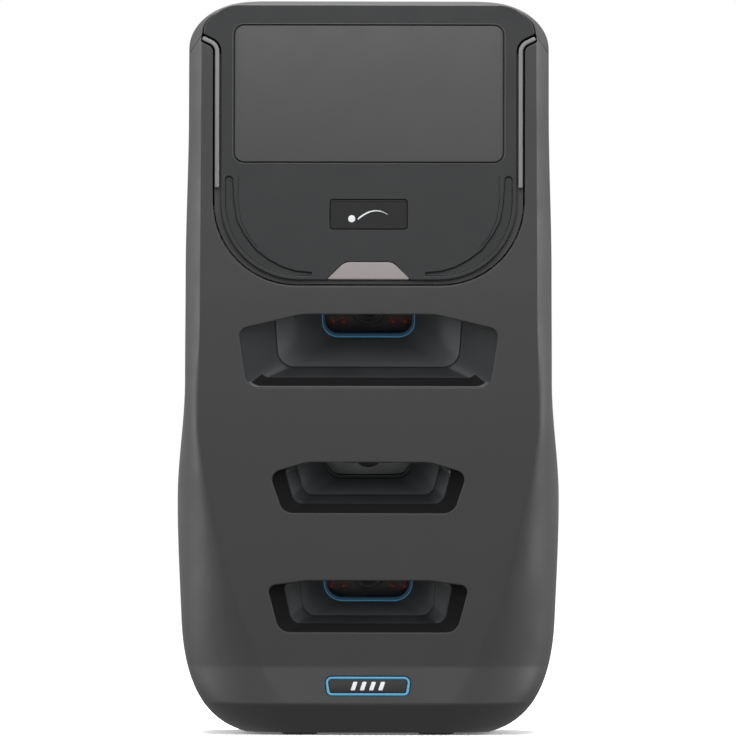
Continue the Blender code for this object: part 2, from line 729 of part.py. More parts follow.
def build_optical_frame():
    """The metal plate that carries the cameras, with a cradle behind each one and a flange at the foot."""
    frame = facing_front(0, FRAME_Y[0], 0)
    holes = [circle(SCREW_BORE, x, z, 12) for x, z in SCREW_PLACES]
    outline = rounded((
        (-30, FRAME_Z[0] + 1, 2), (30, FRAME_Z[0] + 1, 2), (30, 23, 4), (FRAME_HALF, 26, 6),
        (FRAME_HALF, FRAME_Z[1], 8), (-FRAME_HALF, FRAME_Z[1], 8), (-FRAME_HALF, 26, 6), (-30, 23, 4),
    ))
    lightening = [rectangle(9, 80, 130, 4, side * 52) for side in (-1, 1)]
    plate_depth = FRAME_Y[1] - FRAME_Y[0]
    chassis = plate("optical_frame", [outline, *holes, *lightening], 0, plate_depth, frame, "metal")
    join(chassis, box("frame_flange", (-33, -30, FRAME_Z[0]), (33, 18, FRAME_Z[0] + 2.2)))
    for key, aperture in APERTURES.items():
        view = camera_frame(aperture)
        lens_v = aperture["lens_v"]
        outline = rectangle(CRADLE_HALF, lens_v - CRADLE_HALF, lens_v + CRADLE_HALF, 1)
        cradle = plate(f"{key}_cradle", [outline], CAMERA_BOARD_DEPTHS[1] + GAP, 60, view)
        cut(cradle, box(f"{key}_cradle_end", (-40, FRAME_Y[1] - 1.0, 0), (40, 90, 300)))
        join(chassis, cradle)
    for index, (x, y) in enumerate(BASE_SCREW_PLACES):
        cut(chassis, cylinder(f"flange_bore_{index}", SCREW_BORE, -12, 0, facing_up(x, y, 0), steps=10))


def build_electronics():
    box("main_board", *MAIN_BOARD, "board")
    pack = box("battery_pack", *BATTERY, "battery")
    bevel(pack, 3.0, 3)
    build_heat_sink()
    frame = facing_rear(0, PORT_BOARD_Y[1], 0)
    plate("port_board", [rectangle(30, 62, 98, 2)], 0, PORT_BOARD_Y[1] - PORT_BOARD_Y[0], frame, "board")


def build_heat_sink():
    """A comb of upright fins on the rear face of the main board."""
    start = MAIN_BOARD[1][1] + GAP
    count, pitch, fin, base, tall = 9, 6.0, 1.8, 3.0, 13.0
    edge = pitch * (count - 1) / 2 + fin / 2
    comb = [(-edge, start), (edge, start)]
    for index in reversed(range(count)):
        x = (index - (count - 1) / 2) * pitch
        comb += [(x + fin / 2, start + tall), (x - fin / 2, start + tall)]
        if index:
            comb += [(x - fin / 2, start + base), (x - pitch + fin / 2, start + base)]
    plate("heat_sink", [comb], -HEAT_SINK_Z[1], -HEAT_SINK_Z[0], facing_up(), "metal")


def build_screws():
    profile = (
        (0, 0.9), (1.3, 0.9), (1.6, 0), (3.0, 0), (3.2, 0.6), (3.2, 3.0), (1.5, 3.0), (1.5, 26.0), (0, 26.8),
    )
    for index, (x, z) in enumerate(SCREW_PLACES):
        turned(f"case_screw_{index + 1}", profile, facing_rear(x, CASE_SCREW_Y, z), "steel", 12)
    profile = ((0, 0.5), (1.2, 0.5), (1.5, 0), (2.8, 0), (2.8, 0.8), (1.5, 2.0), (1.5, 7.2), (0, 7.8))
    for index, (x, y) in enumerate(BASE_SCREW_PLACES):
        frame = facing_up(x, y, CASE_BOTTOM + 0.3) @ Matrix.Rotation(math.pi, 4, "X")
        turned(f"base_screw_{index + 1}", profile, frame, "steel", 12)


# ---------------------------------------------------------------- rear ports, button and handle

def build_port_bay():
    """The open tray behind the port door, with holes for the sockets and the two outer hinge knuckles."""
    depth = REAR_Y - BAY_BACK_Y
    rear = facing_rear(0, REAR_Y, 0)
    half = BAY_HALF - GAP
    low, high = BAY_Z[0] + GAP, BAY_Z[1] - GAP
    bay = plate("port_bay", [rectangle(half, low, high, 2.7)], 2.8, depth, rear, "hood")
    inner = rectangle(half - BAY_WALL, low + BAY_WALL, high - BAY_WALL, 1.2)
    cut(bay, plate("bay_hollow", [inner], 0, depth - BAY_WALL, rear))
    x, z, half_x, half_z = JACK
    hole = rectangle(half_x + GAP, z - half_z - GAP, z + half_z + GAP, 0.5, -x)
    cut(bay, plate("jack_hole", [hole], 0, 40, rear))
    x, z, half_x, half_z = USB_PORT
    hole = rectangle(half_x + GAP, z - half_z - GAP, z + half_z + GAP, 1.9, -x)
    cut(bay, plate("usb_hole", [hole], 0, 40, rear))
    x, z, radius = INLET
    cut(bay, cylinder("inlet_hole", radius + GAP, 0, 40, facing_rear(x, REAR_Y, z), steps=20))
    for name, side in (("ear_left", -1), ("ear_right", 1)):
        start = side * (KNUCKLE_HALF + 0.4)
        end = side * (KNUCKLE_HALF + 12.0)
        join(bay, knuckle(f"{name}_barrel", min(start, end), max(start, end)))
        low_y = HINGE_Y - KNUCKLE_RADIUS
        web_low = (min(start, end), low_y, BAY_Z[0] + GAP + 0.5)
        web_high = (max(start, end), low_y + 2.0, HINGE_Z)
        join(bay, box(f"{name}_web", web_low, web_high))
    cut(bay, hinge_rod("bay_pin_bore", PIN_RADIUS + 0.08, 40.0, 16))


def knuckle(name, low_x, high_x, look=None):
    frame = facing_side(high_x, HINGE_Y, HINGE_Z)
    return cylinder(name, KNUCKLE_RADIUS, 0, high_x - low_x, frame, look, 16)


def hinge_rod(name, radius, half, steps, look=None):
    return cylinder(name, radius, 0, 2 * half, facing_side(half, HINGE_Y, HINGE_Z), look, steps)


def build_port_door():
    """The door lies flush in the bay's mouth and turns on a pin along its lower edge."""
    frame = facing_rear(0, HINGE_Y, HINGE_Z)
    half = BAY_HALF - 0.6
    top = BAY_Z[1] - 0.6 - HINGE_Z
    outer, inner = HINGE_Y - REAR_Y + 0.3, -0.1
    tab = KNUCKLE_HALF - 0.4
    outline = rounded(((-half, 3.0, 1), (half, 3.0, 1), (half, top, 2.4), (-half, top, 2.4)), 3)
    door = plate("port_door", [outline], outer, inner, frame, "shell")
    join(door, box("door_tab", (-tab, HINGE_Y - inner, HINGE_Z), (tab, HINGE_Y - outer - 0.3, HINGE_Z + 5.0)))
    join(door, knuckle("door_barrel", -tab + 0.2, tab - 0.2))
    cut(door, hinge_rod("door_pin_bore", PIN_RADIUS + 0.08, 30.0, 16))
    pull = plate("door_pull", [rectangle(9, top - 5.5, top - 2.5, 1.4)], HINGE_Y - REAR_Y - 1, -1.6, frame)
    cut(door, pull)
    hinge_rod("port_door_pin", PIN_RADIUS, KNUCKLE_HALF + 11.0, 16, "steel")


def build_sockets():
    start = PORT_BOARD_Y[1] + GAP
    x, z, half_x, half_z = JACK
    jack = box("ethernet_jack", (x - half_x, start, z - half_z), (x + half_x, 44.0, z + half_z), "metal")
    cut(jack, box("jack_socket", (x - 5.9, 31.0, z - 4.4), (x + 5.9, 50.0, z + 3.2)))
    cut(jack, box("jack_latch", (x - 3.0, 36.0, z + 2.0), (x + 3.0, 50.0, z + 5.4)))
    x, z, half_x, half_z = USB_PORT
    rear = facing_rear(0, 42.0, 0)
    outer = rectangle(half_x, z - half_z, z + half_z, 1.6, -x)
    usb = plate("usb_c_port", [outer], 0, 42.0 - start, rear, "steel")
    inner = rectangle(half_x - 0.35, z - half_z + 0.35, z + half_z - 0.35, 1.2, -x)
    cut(usb, plate("usb_slot", [inner], -2, 7, rear))
    join(usb, box("usb_tongue", (x - 3.3, 34, z - 0.35), (x + 3.3, 41, z + 0.35)))
    x, z, radius = INLET
    frame = facing_rear(x, 41.0, z)
    profile = (
        (0, 1.5), (1.0, 1.5), (1.0, 9.0), (2.9, 9.0),
        (2.9, 0), (radius, 0), (radius, 41.0 - start), (0, 41.0 - start),
    )
    turned("power_inlet", profile, frame, "hood", 20)


def build_power_button():
    x, z = BUTTON_PLACE
    frame = facing_rear(x, REAR_Y, z)
    radius = BUTTON_RADIUS
    profile = (
        (0, 0.9), (radius * 0.6, 0.7), (radius - 0.8, 0.3), (radius, 0.9), (radius, 2.9), (radius + 1.6, 2.9),
        (radius + 1.6, 4.2), (2.5, 4.2), (2.5, 8.0), (0, 8.0),
    )
    turned("power_button", profile, frame, "trim", 24)
    board = plate("power_switch_board", [rectangle(12, -9, 9, 1.5)], 12.6, 14.2, frame, "board")
    join(board, plate("switch_body", [rectangle(3.2, -3.2, 3.2, 0.4)], 10.2, 13.0, frame))
    join(board, cylinder("switch_plunger", 1.7, 9.1, 11.0, frame, steps=10))


def build_handle():
    """A tray let into the rear of the casing, with a bar across it that fingers close round."""
    front, rear = TRAY_FRONT_Y, 75.0
    frame = facing_rear(0, rear, 0)
    tray = plate("handle_tray", [rectangle(TRAY_HALF, *TRAY_Z, 5.7)], 0, rear - front, frame, "hood")
    inner = rectangle(TRAY_HALF - TRAY_WALL, TRAY_Z[0] + TRAY_WALL, TRAY_Z[1] - TRAY_WALL, 4.1)
    cut(tray, plate("tray_hollow", [inner], -2, rear - front - TRAY_WALL, frame))
    keep(tray, casing_form("tray_limit", 0.5))
    side = facing_side(50, GRIP_Y, GRIP_Z)
    cut(tray, cylinder("grip_sockets", 3.3, 0, 100, side, steps=12))
    length = 2 * (TRAY_HALF - TRAY_WALL - GAP)
    bar = rounded(((-6.5, -8.5, 5), (6.5, -8.5, 5), (6.5, 8.5, 5), (-6.5, 8.5, 5)))
    grip = plate("handle_grip", [bar], 50 - length / 2, 50 + length / 2, side, "rubber")
    join(grip, cylinder("grip_pegs", 3.0, 50 - TRAY_HALF, 50 + TRAY_HALF, side, steps=12))


# ---------------------------------------------------------------- base, feet and levelling screw

def build_base():
    """The bottom plate: it fills the opening in the casing, and its flange lies on the casing's floor."""
    up = facing_up()
    base = plate("base_plate", [rounded(BASE_OUTLINE)], -BASE_TOP + 1.0, -CASE_BOTTOM, up, "shell")
    low = CASE_BOTTOM + WALL + 1.5
    join(base, plate("base_flange", [rounded(grown(BASE_OUTLINE, BASE_FLANGE))], -BASE_TOP, -low, up))
    cut(base, cylinder("post_hole", POST_RADIUS + 0.3, -10, 1, facing_up(0, FOOT_Y, 0)))
    cut(base, cylinder("pad_pocket", PAD_RADIUS + 0.6, -3.3, 1, facing_up(0, FOOT_Y, 0)))
    for index, (x, y) in enumerate(BASE_SCREW_PLACES):
        cut(base, cylinder(f"base_bore_{index}", SCREW_BORE, -10, 1, facing_up(x, y, 0), steps=10))
        cut(base, cylinder(f"base_head_{index}", 3.2, -3.7, 1, facing_up(x, y, 0), steps=12))
    for name, side in (("front_foot_left", -1), ("front_foot_right", 1)):
        x, y = FRONT_FOOT
        seat = rectangle(7.5 + GAP, y - 5 - GAP, y + 5 + GAP, 3, side * x)
        cut(base, plate(f"{name}_seat", [seat], -2.6, 1, up))
        pad = plate(name, [rectangle(7.5, y - 5, y + 5, 3, side * x)], -2.3, 0, up, "rubber")
        bevel(pad, 0.4, 1)


def build_levelling_foot():
    axis = facing_up(0, FOOT_Y, 0)
    pad = ((0, -2.8), (5.0, -2.8), (8.6, -2.4), (9.0, -1.2), (8.4, 0), (0, 0))
    turned("foot_pad", pad, axis, "rubber", 24)
    post = ((0, -34), (3.4, -34), (POST_RADIUS, -33.4), (POST_RADIUS, -3.1), (0, -3.1))
    turned("foot_post", post, axis, "steel", 24)
    teeth = []
    for index in range(WHEEL_TEETH * 2):
        turn = 2 * math.pi * index / (WHEEL_TEETH * 2)
        reach = WHEEL_RADIUS - (0.0 if index % 2 else WHEEL_TOOTH)
        teeth.append((reach * math.cos(turn), reach * math.sin(turn)))
    bore = circle(POST_RADIUS + 0.1)
    plate("foot_thumbwheel", [teeth, bore], -WHEEL_Z[1], -WHEEL_Z[0], axis, "trim")
    bridge = rounded(((-27, -8, 2), (27, -8, 2), (27, 8, 2), (-27, 8, 2)))
    top = WHEEL_Z[1] + 0.4
    bracket = plate("foot_bracket", [bridge, circle(POST_RADIUS + 0.1)], -top - 2.4, -top, axis, "metal")
    for name, low, high in (("bracket_leg_left", -27, -23), ("bracket_leg_right", 23, 27)):
        low_corner = (low, FOOT_Y - 8, BASE_TOP + GAP)
        join(bracket, box(name, low_corner, (high, FOOT_Y + 8, top + 1.0)))


# ---------------------------------------------------------------- the whole object

build_front_shell()
build_rear_shell()
build_bezel()
build_display()
build_trims()
build_lower_badge()
for aperture_key, aperture_sizes in APERTURES.items():
    build_hood(aperture_key, aperture_sizes)
    build_camera(aperture_key, aperture_sizes)
    if aperture_key != "middle":
        build_led_board(aperture_key, aperture_sizes)
build_optical_frame()
build_electronics()
build_screws()
build_port_bay()
build_port_door()
build_sockets()
build_power_button()
build_handle()
build_base()
build_levelling_foot()
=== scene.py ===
"""Golf launch monitor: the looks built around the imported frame.

Lengths are in millimetres unless a name says otherwise, and the helpers turn them into metres.
The front faces -Y. Lights and the floor are in metres.
"""

import math

import bmesh
import bpy
from mathutils import Matrix, Vector


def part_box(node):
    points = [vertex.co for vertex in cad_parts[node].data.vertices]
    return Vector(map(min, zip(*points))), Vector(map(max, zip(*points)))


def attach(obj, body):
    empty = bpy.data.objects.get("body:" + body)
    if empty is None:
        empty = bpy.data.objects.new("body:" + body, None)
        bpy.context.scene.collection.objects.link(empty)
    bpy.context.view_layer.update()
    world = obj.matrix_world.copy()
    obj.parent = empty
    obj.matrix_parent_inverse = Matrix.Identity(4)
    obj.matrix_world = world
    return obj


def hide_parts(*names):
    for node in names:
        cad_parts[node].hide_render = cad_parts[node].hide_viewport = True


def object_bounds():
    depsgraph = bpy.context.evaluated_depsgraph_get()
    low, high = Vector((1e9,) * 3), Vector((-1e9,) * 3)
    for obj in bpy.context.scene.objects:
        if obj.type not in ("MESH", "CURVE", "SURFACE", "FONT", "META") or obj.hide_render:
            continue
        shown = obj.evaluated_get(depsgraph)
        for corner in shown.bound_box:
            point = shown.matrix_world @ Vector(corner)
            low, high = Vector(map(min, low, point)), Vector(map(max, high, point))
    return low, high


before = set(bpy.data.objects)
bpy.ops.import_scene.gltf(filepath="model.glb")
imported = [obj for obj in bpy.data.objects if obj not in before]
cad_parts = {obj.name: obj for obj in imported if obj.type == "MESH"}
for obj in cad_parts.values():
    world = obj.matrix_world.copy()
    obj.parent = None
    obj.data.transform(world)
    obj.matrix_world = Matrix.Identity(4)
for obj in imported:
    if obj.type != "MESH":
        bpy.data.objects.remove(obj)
CAD_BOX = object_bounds()

MM = 0.001
HEIGHT = CAD_BOX[1][2] / MM
FRONT_Y = CAD_BOX[0][1] / MM
REAR_Y = CAD_BOX[1][1] / MM
CASE_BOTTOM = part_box("rear_shell")[0][2] / MM
WALL = 2.4
GAP = 0.3

# The seam between the shells, and the slanting ends of the front shell's arms, as (x, z).
SEAM_Y = -22.0
ARM_CUT = ((90.0, 269.1), (68.4, 300.0))

# The casing's section, as (height, value) knots, and the rounded ends and creases that change it.
# Its half width stays within WIDEST, which is the CAD casing's own.
WIDEST = 80.97
WIDTH_KNOTS = ((0, 78.6), (20, 78.6), (100, 81.0), (150, 77.8), (195, 77.6), (265, 76.3), (310, 76.2))
FLAT_KNOTS = (
    (0, 24), (13.1, 34), (29, 44), (57, 55.7), (83, 62.5), (108, 68.5), (130, 71.8), (190, 71.4), (310, 70.8),
)
CORNER_DEPTH_KNOTS = ((0, 24), (100, 24), (150, 10), (310, 8))
CORNER_POWER_KNOTS = ((0, 1.9), (40, 1.6), (140, 1.6), (175, 1.15), (310, 1.12))
BOTTOM_ROUND_HEIGHT, BOTTOM_ROUND_WIDTH, BOTTOM_ROUND_POWER = 50.0, 37.5, 2.4
TOP_ROUND_HEIGHT, TOP_ROUND_WIDTH = 20.5, 29.0
LIP_HEIGHT, LIP_SLOPE = 13.1, 0.8
CHIN_TOP = 29.0
RECESS_TOP, RECESS_DEPTH = 142.0, 3.0
LEAN_START, LEAN = 185.0, math.radians(2.0)
CROWN_START, CROWN_DEPTH = 304.5, 25.0
REAR_LEAN, REAR_LEAN_START, REAR_LEAN_END = 14.0, 150.0, 290.0
REAR_CROWN_START, REAR_CROWN_DEPTH = 284.0, 22.0
REAR_FOOT_HEIGHT, REAR_FOOT_DEPTH = 14.0, 10.0
REAR_RADIUS = 34.0
CREASE_ROUND = 0.7
CREASE_STEPS, CREASE_CLEAR = (-1.2, -0.8, -0.4, 0.0, 0.4, 0.8, 1.2), 1.4
CORNER_MARGIN = 5.0

# Display bezel and badges, in the leaning plane of the upper front.
BEZEL_TOP = 0.5
BEZEL_OUTLINE = (
    (62.75, 192.9, 33), (62.75, 293.5, 6), (70.1, 297.2, 1), (69.4, 302.2, 8), (60.0, 309.6, 14),
)
SHELL_OPENING = (
    (66.05, 190.6, 35.4), (66.05, 291.5, 3), (71.2, 294.1, 1), (70.2, 302.3, 8.4), (60.3, 310.1, 14.4),
)
BEZEL_SKIRT = (
    (-65.5, 191.15, 34.9), (65.5, 191.15, 34.9), (65.5, 289.0, 1), (61.5, 289.0, 1),
    (61.5, 194.2, 31.5), (-61.5, 194.2, 31.5), (-61.5, 289.0, 1), (-65.5, 289.0, 1),
)
SKIRT_DEPTHS = (3.5, 4.3)
POCKET_GAP = 0.55
RIM_WIDTH = 0.45

# Half width, bottom, top and corner radius.
DISPLAY = (56.9, 243.0, 300.9, 4.0)
BADGE = (16.3, 214.6, 226.9, 1.2)
STATUS_LENS = ((-17.9, 193.1, 0.5), (17.9, 193.1, 0.5), (10.2, 200.6, 6), (-10.2, 200.6, 6))
TRIM_OUTLINE = (
    (65.25, 232.0, 0.4), (65.25, 291.95, 3.5), (70.8, 294.7, 0.3),
    (70.0, 296.3, 0.3), (63.45, 293.05, 5.3), (63.45, 232.0, 0.4),
)
TRIM_DEPTHS = (0.2, 3.2)
TRIM_EDGE = 0.5

# The groove in the bezel: its outer arc, its inner side from the tip up, its top finger, and a fine crease.
GROOVE_CENTRE, GROOVE_RADIUS = (29.75, 225.9), 31.1
GROOVE_INNER = (
    (24.0, 194.8), (24.0, 196.0), (30.7, 196.6), (36.6, 198.4), (42.4, 201.5),
    (47.9, 205.7), (52.6, 211.9), (55.8, 218.2), (57.0, 226.0), (57.6, 235.2),
)
FINGER_PLACE, FINGER_RADIUS = (59.22, 235.2), 1.62
CREASE_LINE = ((55.2, 237.0), (55.4, 226.0), (54.2, 218.2), (50.9, 211.3), (47.0, 206.6))
CREASE_HALF = 0.2

# The upper mark's ball and flight, and the lower mark's bars.
BALL_X, BALL_RISE, BALL_RADIUS = -7.2, 4.3, 1.5
FLIGHT_START, FLIGHT_LENGTH, FLIGHT_BASE, FLIGHT_RISE, FLIGHT_HALF = -4.6, 12.6, 2.1, 5.6, 0.42
BAR_COUNT, BAR_PITCH, BAR_Z, BAR_FOOT, BAR_SLANT = 4, 3.9, (19.1, 22.8), (-1.5, 0.3), 1.2
LOWER_BADGE = ((-17.2, 16.8, 2.2), (17.2, 16.8, 2.2), (18.2, 25.0, 2.6), (-18.2, 25.0, 2.6))
LOWER_BADGE_RIM = 1.1

# Camera apertures: right half corners (x, z, radius) from the bottom up; the window's are (u, v, radius).
APERTURES = {
    "upper": {
        "mouth": ((51.6, 147.4, 6), (55.2, 171.9, 4), (28, 178.3, 30)),
        "sill": ((46.5, 151.6, 5), (48.0, 176.0, 4), (26, 182.0, 20)),
        "throat": ((38.6, 155.8, 7), (40.6, 181.0, 4), (22, 187.0, 12)),
        "window": ((19.7, 0, 7), (19.9, 27.0, 5), (12, 31.0, 8)),
        "window_z": 168.6, "window_depth": 30.0, "look_down": math.radians(20),
        "lens_v": 11.0, "lens_radius": 7.3,
    },
    "middle": {
        "mouth": ((36.2, 94.2, 6), (41.8, 110.9, 4), (26, 115.6, 20)),
        "sill": ((31.4, 98.2, 5), (35.6, 114.0, 4), (22, 118.5, 14)),
        "throat": ((27.4, 101.8, 5), (31.6, 117.0, 4), (17, 121.5, 10)),
        "window": ((18.6, 0, 7), (19.2, 20.0, 5), (11, 23.0, 8)),
        "window_z": 108.6, "window_depth": 24.0, "look_down": math.radians(18),
        "lens_v": 10.0, "lens_radius": 6.6,
    },
    "lower": {
        "mouth": ((37.6, 43.7, 6), (42.8, 63.2, 3), (26, 65.5, 14)),
        "sill": ((32.4, 47.4, 5), (36.0, 65.0, 4), (23, 68.5, 10)),
        "throat": ((27.6, 50.5, 6), (29.4, 68.0, 4), (18, 72.0, 8)),
        "window": ((18.4, 0, 8), (19.6, 20.0, 5), (11, 23.0, 8)),
        "window_z": 56.5, "window_depth": 24.0, "look_down": math.radians(16),
        "lens_v": 10.5, "lens_radius": 6.6,
    },
}
HOOD_START, SILL_DEPTH, THROAT_DEPTH, HOOD_WALL, HOOD_BACK = 3.7, 7.0, 11.0, 1.5, 0.8
MOUTH_OVERLAP = 0.3

# A funnel's rounded corners and throat groove, as shares of the way to the next key ring, and its rows.
SILL_ROUND, THROAT_ROUND, LIP_SHARE, CORNER_PULL = 0.16, 0.012, 0.2, 0.55
THROAT_GROOVE = ((0.012, 0.55), (0.034, 0.55), (0.034, 0.0))
FLOOR_SHARES = (0.12, 0.35, 0.6, 0.85, 0.97)
# The sill rows near a mouth take a darker finish, painted shade and dark reflection; the rows from the floor
# row on take a lighter finish, painted light, as does the upper mouth's lower lip, a painted highlight.
SILL_ROWS, PAINTED_LIGHT_ROW = 3, 11
PAINTED_SHADE_LOOK, PAINTED_LIGHT_LOOK = 1, 2

# A camera's parts, measured from its window's outline or by their depth behind the window.
RING_REACH, RING_INSET, RING_DEPTHS = 2.2, 1.3, (1.3, 2.6)
LINE_REACH, LINE_INSET, LINE_DEPTHS = 0.1, 0.3, (0.5, 1.2)
GLASS_DEPTHS, BOARD_DEPTHS, BARREL_END = (2.9, 4.7), (7.2, 8.4), 24.0
LAMP_COLUMNS, LAMP_ROWS, LAMP_RADIUS, LAMP_DEPTH = (10.6, 15.4), (5.0, 11.0), 1.5, 5.3

# Rear and base.
BAY_HALF, BAY_Z = 34.0, (55.5, 104.0)
HINGE_Y, HINGE_Z = 60.9, 60.2
KNUCKLE_RADIUS, KNUCKLE_HALF, PIN_RADIUS = 2.2, 15.0, 0.9
BUTTON_PLACE, BUTTON_RADIUS = (-32.0, 124.0), 7.0
VENT_COUNT, VENT_Z, VENT_PITCH, VENT_HALF, VENT_HEIGHT, VENT_RADIUS = 5, 158.0, 8.0, 26.0, 2.4, 1.19
TRAY_HALF, TRAY_Z, TRAY_FRONT_Y, TRAY_WALL = 41.6, (234.4, 285.6), 14.4, 1.6
GRIP_Y, GRIP_Z = 42.5, 268.0
GRIP_RIBS, GRIP_PLAIN_END, PEG_RADIUS = 26, 6.0, 3.0
BASE_OUTLINE = ((-38, -44, 10), (38, -44, 10), (38, 50, 10), (-38, 50, 10))
SCREW_PLACES = ((62, 34), (-62, 34), (66, 186), (-66, 186))
TUBE_RADIUS, TUBE_FRONT_Y = 5.5, 3.3
HEAD_BORE, SHANK_BORE, SCREW_SEAT_Y = 3.7, 1.8, 6.0
HEAD_RADIUS, HEAD_HEIGHT, SHANK_RADIUS, SCREW_LENGTH, SCREW_TOP_Y = 3.1, 2.4, 1.5, 26.8, 9.3
FOOT_Y, POST_RADIUS, WHEEL_RADIUS, WHEEL_Z = 38.5, 4.0, 21.5, (9.0, 15.0)
WHEEL_TEETH, TOOTH_DEPTH, WHEEL_SLOT_HALF, WHEEL_SLOT_MARGIN = 36, 0.45, 19.0, 1.8

# Cutters start this far in front of the face that they cut.
PUNCH_REACH = 6.0


# ---------------------------------------------------------------- outlines

def smooth(t):
    t = max(0.0, min(1.0, t))
    return t * t * (3.0 - 2.0 * t)


def between(z, knots, ease=smooth):
    for (z0, v0), (z1, v1) in zip(knots, knots[1:]):
        if z <= z1:
            return v0 + (v1 - v0) * ease((z - z0) / (z1 - z0))
    return knots[-1][1]


def arc(x, y, radius, start, turn, steps):
    """Points round an arc, with its first angle and its turn in radians."""
    angles = [start + turn * step / steps for step in range(steps + 1)]
    return [(x + radius * math.cos(angle), y + radius * math.sin(angle)) for angle in angles]


def rounded(corners, steps=10):
    """A closed outline through the corners, each (x, y, radius), with an arc at each corner."""
    outline = []
    for index, (x, y, radius) in enumerate(corners):
        before = corners[index - 1]
        after = corners[(index + 1) % len(corners)]
        to_before = math.atan2(before[1] - y, before[0] - x)
        to_after = math.atan2(after[1] - y, after[0] - x)
        half = ((to_before - to_after) % (2 * math.pi)) / 2
        turn = math.pi - 2 * half
        inwards = to_after + half + (math.pi if turn < 0 else 0.0)
        reach = radius / math.sin(half)
        centre = (x + reach * math.cos(inwards), y + reach * math.sin(inwards))
        outline += arc(*centre, radius, inwards + math.pi - turn / 2, turn, steps)
    return outline


def rectangle(half, low, high, radius, middle=0.0, steps=8):
    corners = (
        (middle - half, low, radius), (middle + half, low, radius),
        (middle + half, high, radius), (middle - half, high, radius),
    )
    return rounded(corners, steps)


def circle(radius, x=0.0, y=0.0, steps=48):
    return arc(x, y, radius, 0.0, 2 * math.pi, steps)[:-1]


def mirrored(corners):
    return tuple(corners) + tuple((-x, z, radius) for x, z, radius in reversed(corners))


def flipped(outline):
    return [(-x, z) for x, z in reversed(outline)]


def grown(corners, margin):
    middle_x = sum(corner[0] for corner in corners) / len(corners)
    middle_y = sum(corner[1] for corner in corners) / len(corners)
    moved = []
    for x, y, radius in corners:
        new_x = x + margin * math.copysign(1.0, x - middle_x)
        new_y = y + margin * math.copysign(1.0, y - middle_y)
        moved.append((new_x, new_y, radius + margin))
    return tuple(moved)


def offset(outline, distance):
    """A closed outline, counter-clockwise, moved outwards along its normals."""
    moved = []
    count = len(outline)
    for i, (x, y) in enumerate(outline):
        x0, y0 = outline[i - 1]
        x1, y1 = outline[(i + 1) % count]
        along_x, along_y = x1 - x0, y1 - y0
        length = math.hypot(along_x, along_y) or 1.0
        moved.append((x + along_y / length * distance, y - along_x / length * distance))
    return moved


# ---------------------------------------------------------------- casing form

def quarter(t, power=2.0):
    t = max(0.0, min(1.0, t))
    return 1.0 - (1.0 - t ** power) ** (1.0 / power)


def half_width(z):
    low = quarter((BOTTOM_ROUND_HEIGHT - z) / BOTTOM_ROUND_HEIGHT, BOTTOM_ROUND_POWER)
    high = quarter((z - HEIGHT + TOP_ROUND_HEIGHT) / TOP_ROUND_HEIGHT)
    return min(between(z, WIDTH_KNOTS) - BOTTOM_ROUND_WIDTH * low - TOP_ROUND_WIDTH * high, WIDEST)


def creased_front_y(z):
    if z < LIP_HEIGHT:
        return FRONT_Y + LIP_SLOPE * (LIP_HEIGHT - z)
    if z < CHIN_TOP:
        return FRONT_Y + RECESS_DEPTH * (z - LIP_HEIGHT) / (CHIN_TOP - LIP_HEIGHT)
    recess = RECESS_DEPTH * max(0.0, (RECESS_TOP - z) / (RECESS_TOP - CHIN_TOP)) ** 1.5
    return FRONT_Y + recess + math.tan(LEAN) * max(0.0, z - LEAN_START)


def front_y(z):
    """The front's depth at a height, with its creases rounded."""
    reach = CREASE_ROUND
    near = [creased_front_y(z + reach * share) for share in (-1.0, -0.5, 0.0, 0.5, 1.0)]
    crown = CROWN_DEPTH * quarter((z - CROWN_START) / (HEIGHT - CROWN_START))
    return sum(near) / len(near) + crown


def rear_y(z):
    foot = REAR_FOOT_DEPTH * quarter((REAR_FOOT_HEIGHT - z) / REAR_FOOT_HEIGHT)
    lean = REAR_LEAN * smooth((z - REAR_LEAN_START) / (REAR_LEAN_END - REAR_LEAN_START))
    crown = REAR_CROWN_DEPTH * quarter((z - REAR_CROWN_START) / (HEIGHT - REAR_CROWN_START))
    return REAR_Y - foot - lean - crown


def casing_ring(z, at_z, inset, steps):
    """The casing's section at height z, moved in by the inset and placed at height at_z."""
    half = half_width(z) - inset
    flat = min(between(z, FLAT_KNOTS, ease=float), half_width(z) - CORNER_MARGIN) - inset / 2
    depth = between(z, CORNER_DEPTH_KNOTS)
    bend = 2.0 / between(z, CORNER_POWER_KNOTS)
    front = front_y(z) + inset
    rear = rear_y(z) - inset
    radius = REAR_RADIUS - inset
    right = []
    for step in range(steps + 1):
        angle = math.pi / 2 * step / steps
        x = flat + (half - flat) * math.sin(angle) ** bend
        right.append((x, front + depth * (1 - max(0.0, math.cos(angle)) ** bend), at_z))
    for step in range(steps + 1):
        angle = math.pi / 2 * step / steps
        x = half - radius + radius * math.cos(angle)
        right.append((x, rear - radius + radius * math.sin(angle), at_z))
    return right + [(-x, y, z) for x, y, z in reversed(right)]


def casing_levels(fine):
    """Heights of the sections: close together where the form turns fast."""
    low_steps, middle_steps, top_steps = (22, 56, 18) if fine else (10, 14, 7)
    levels = set()
    for step in range(low_steps):
        levels.add(CASE_BOTTOM + (BOTTOM_ROUND_HEIGHT - CASE_BOTTOM) * (step / low_steps) ** 1.5)
    start = HEIGHT - TOP_ROUND_HEIGHT
    for step in range(middle_steps):
        levels.add(BOTTOM_ROUND_HEIGHT + (start - BOTTOM_ROUND_HEIGHT) * step / middle_steps)
    for step in range(top_steps + 1):
        levels.add(start + TOP_ROUND_HEIGHT * math.sin(math.pi / 2 * step / top_steps))
    if fine:
        for crease in (LIP_HEIGHT, CHIN_TOP):
            levels = {z for z in levels if abs(z - crease) > CREASE_CLEAR}
            levels |= {crease + reach for reach in CREASE_STEPS}
    return sorted(levels)


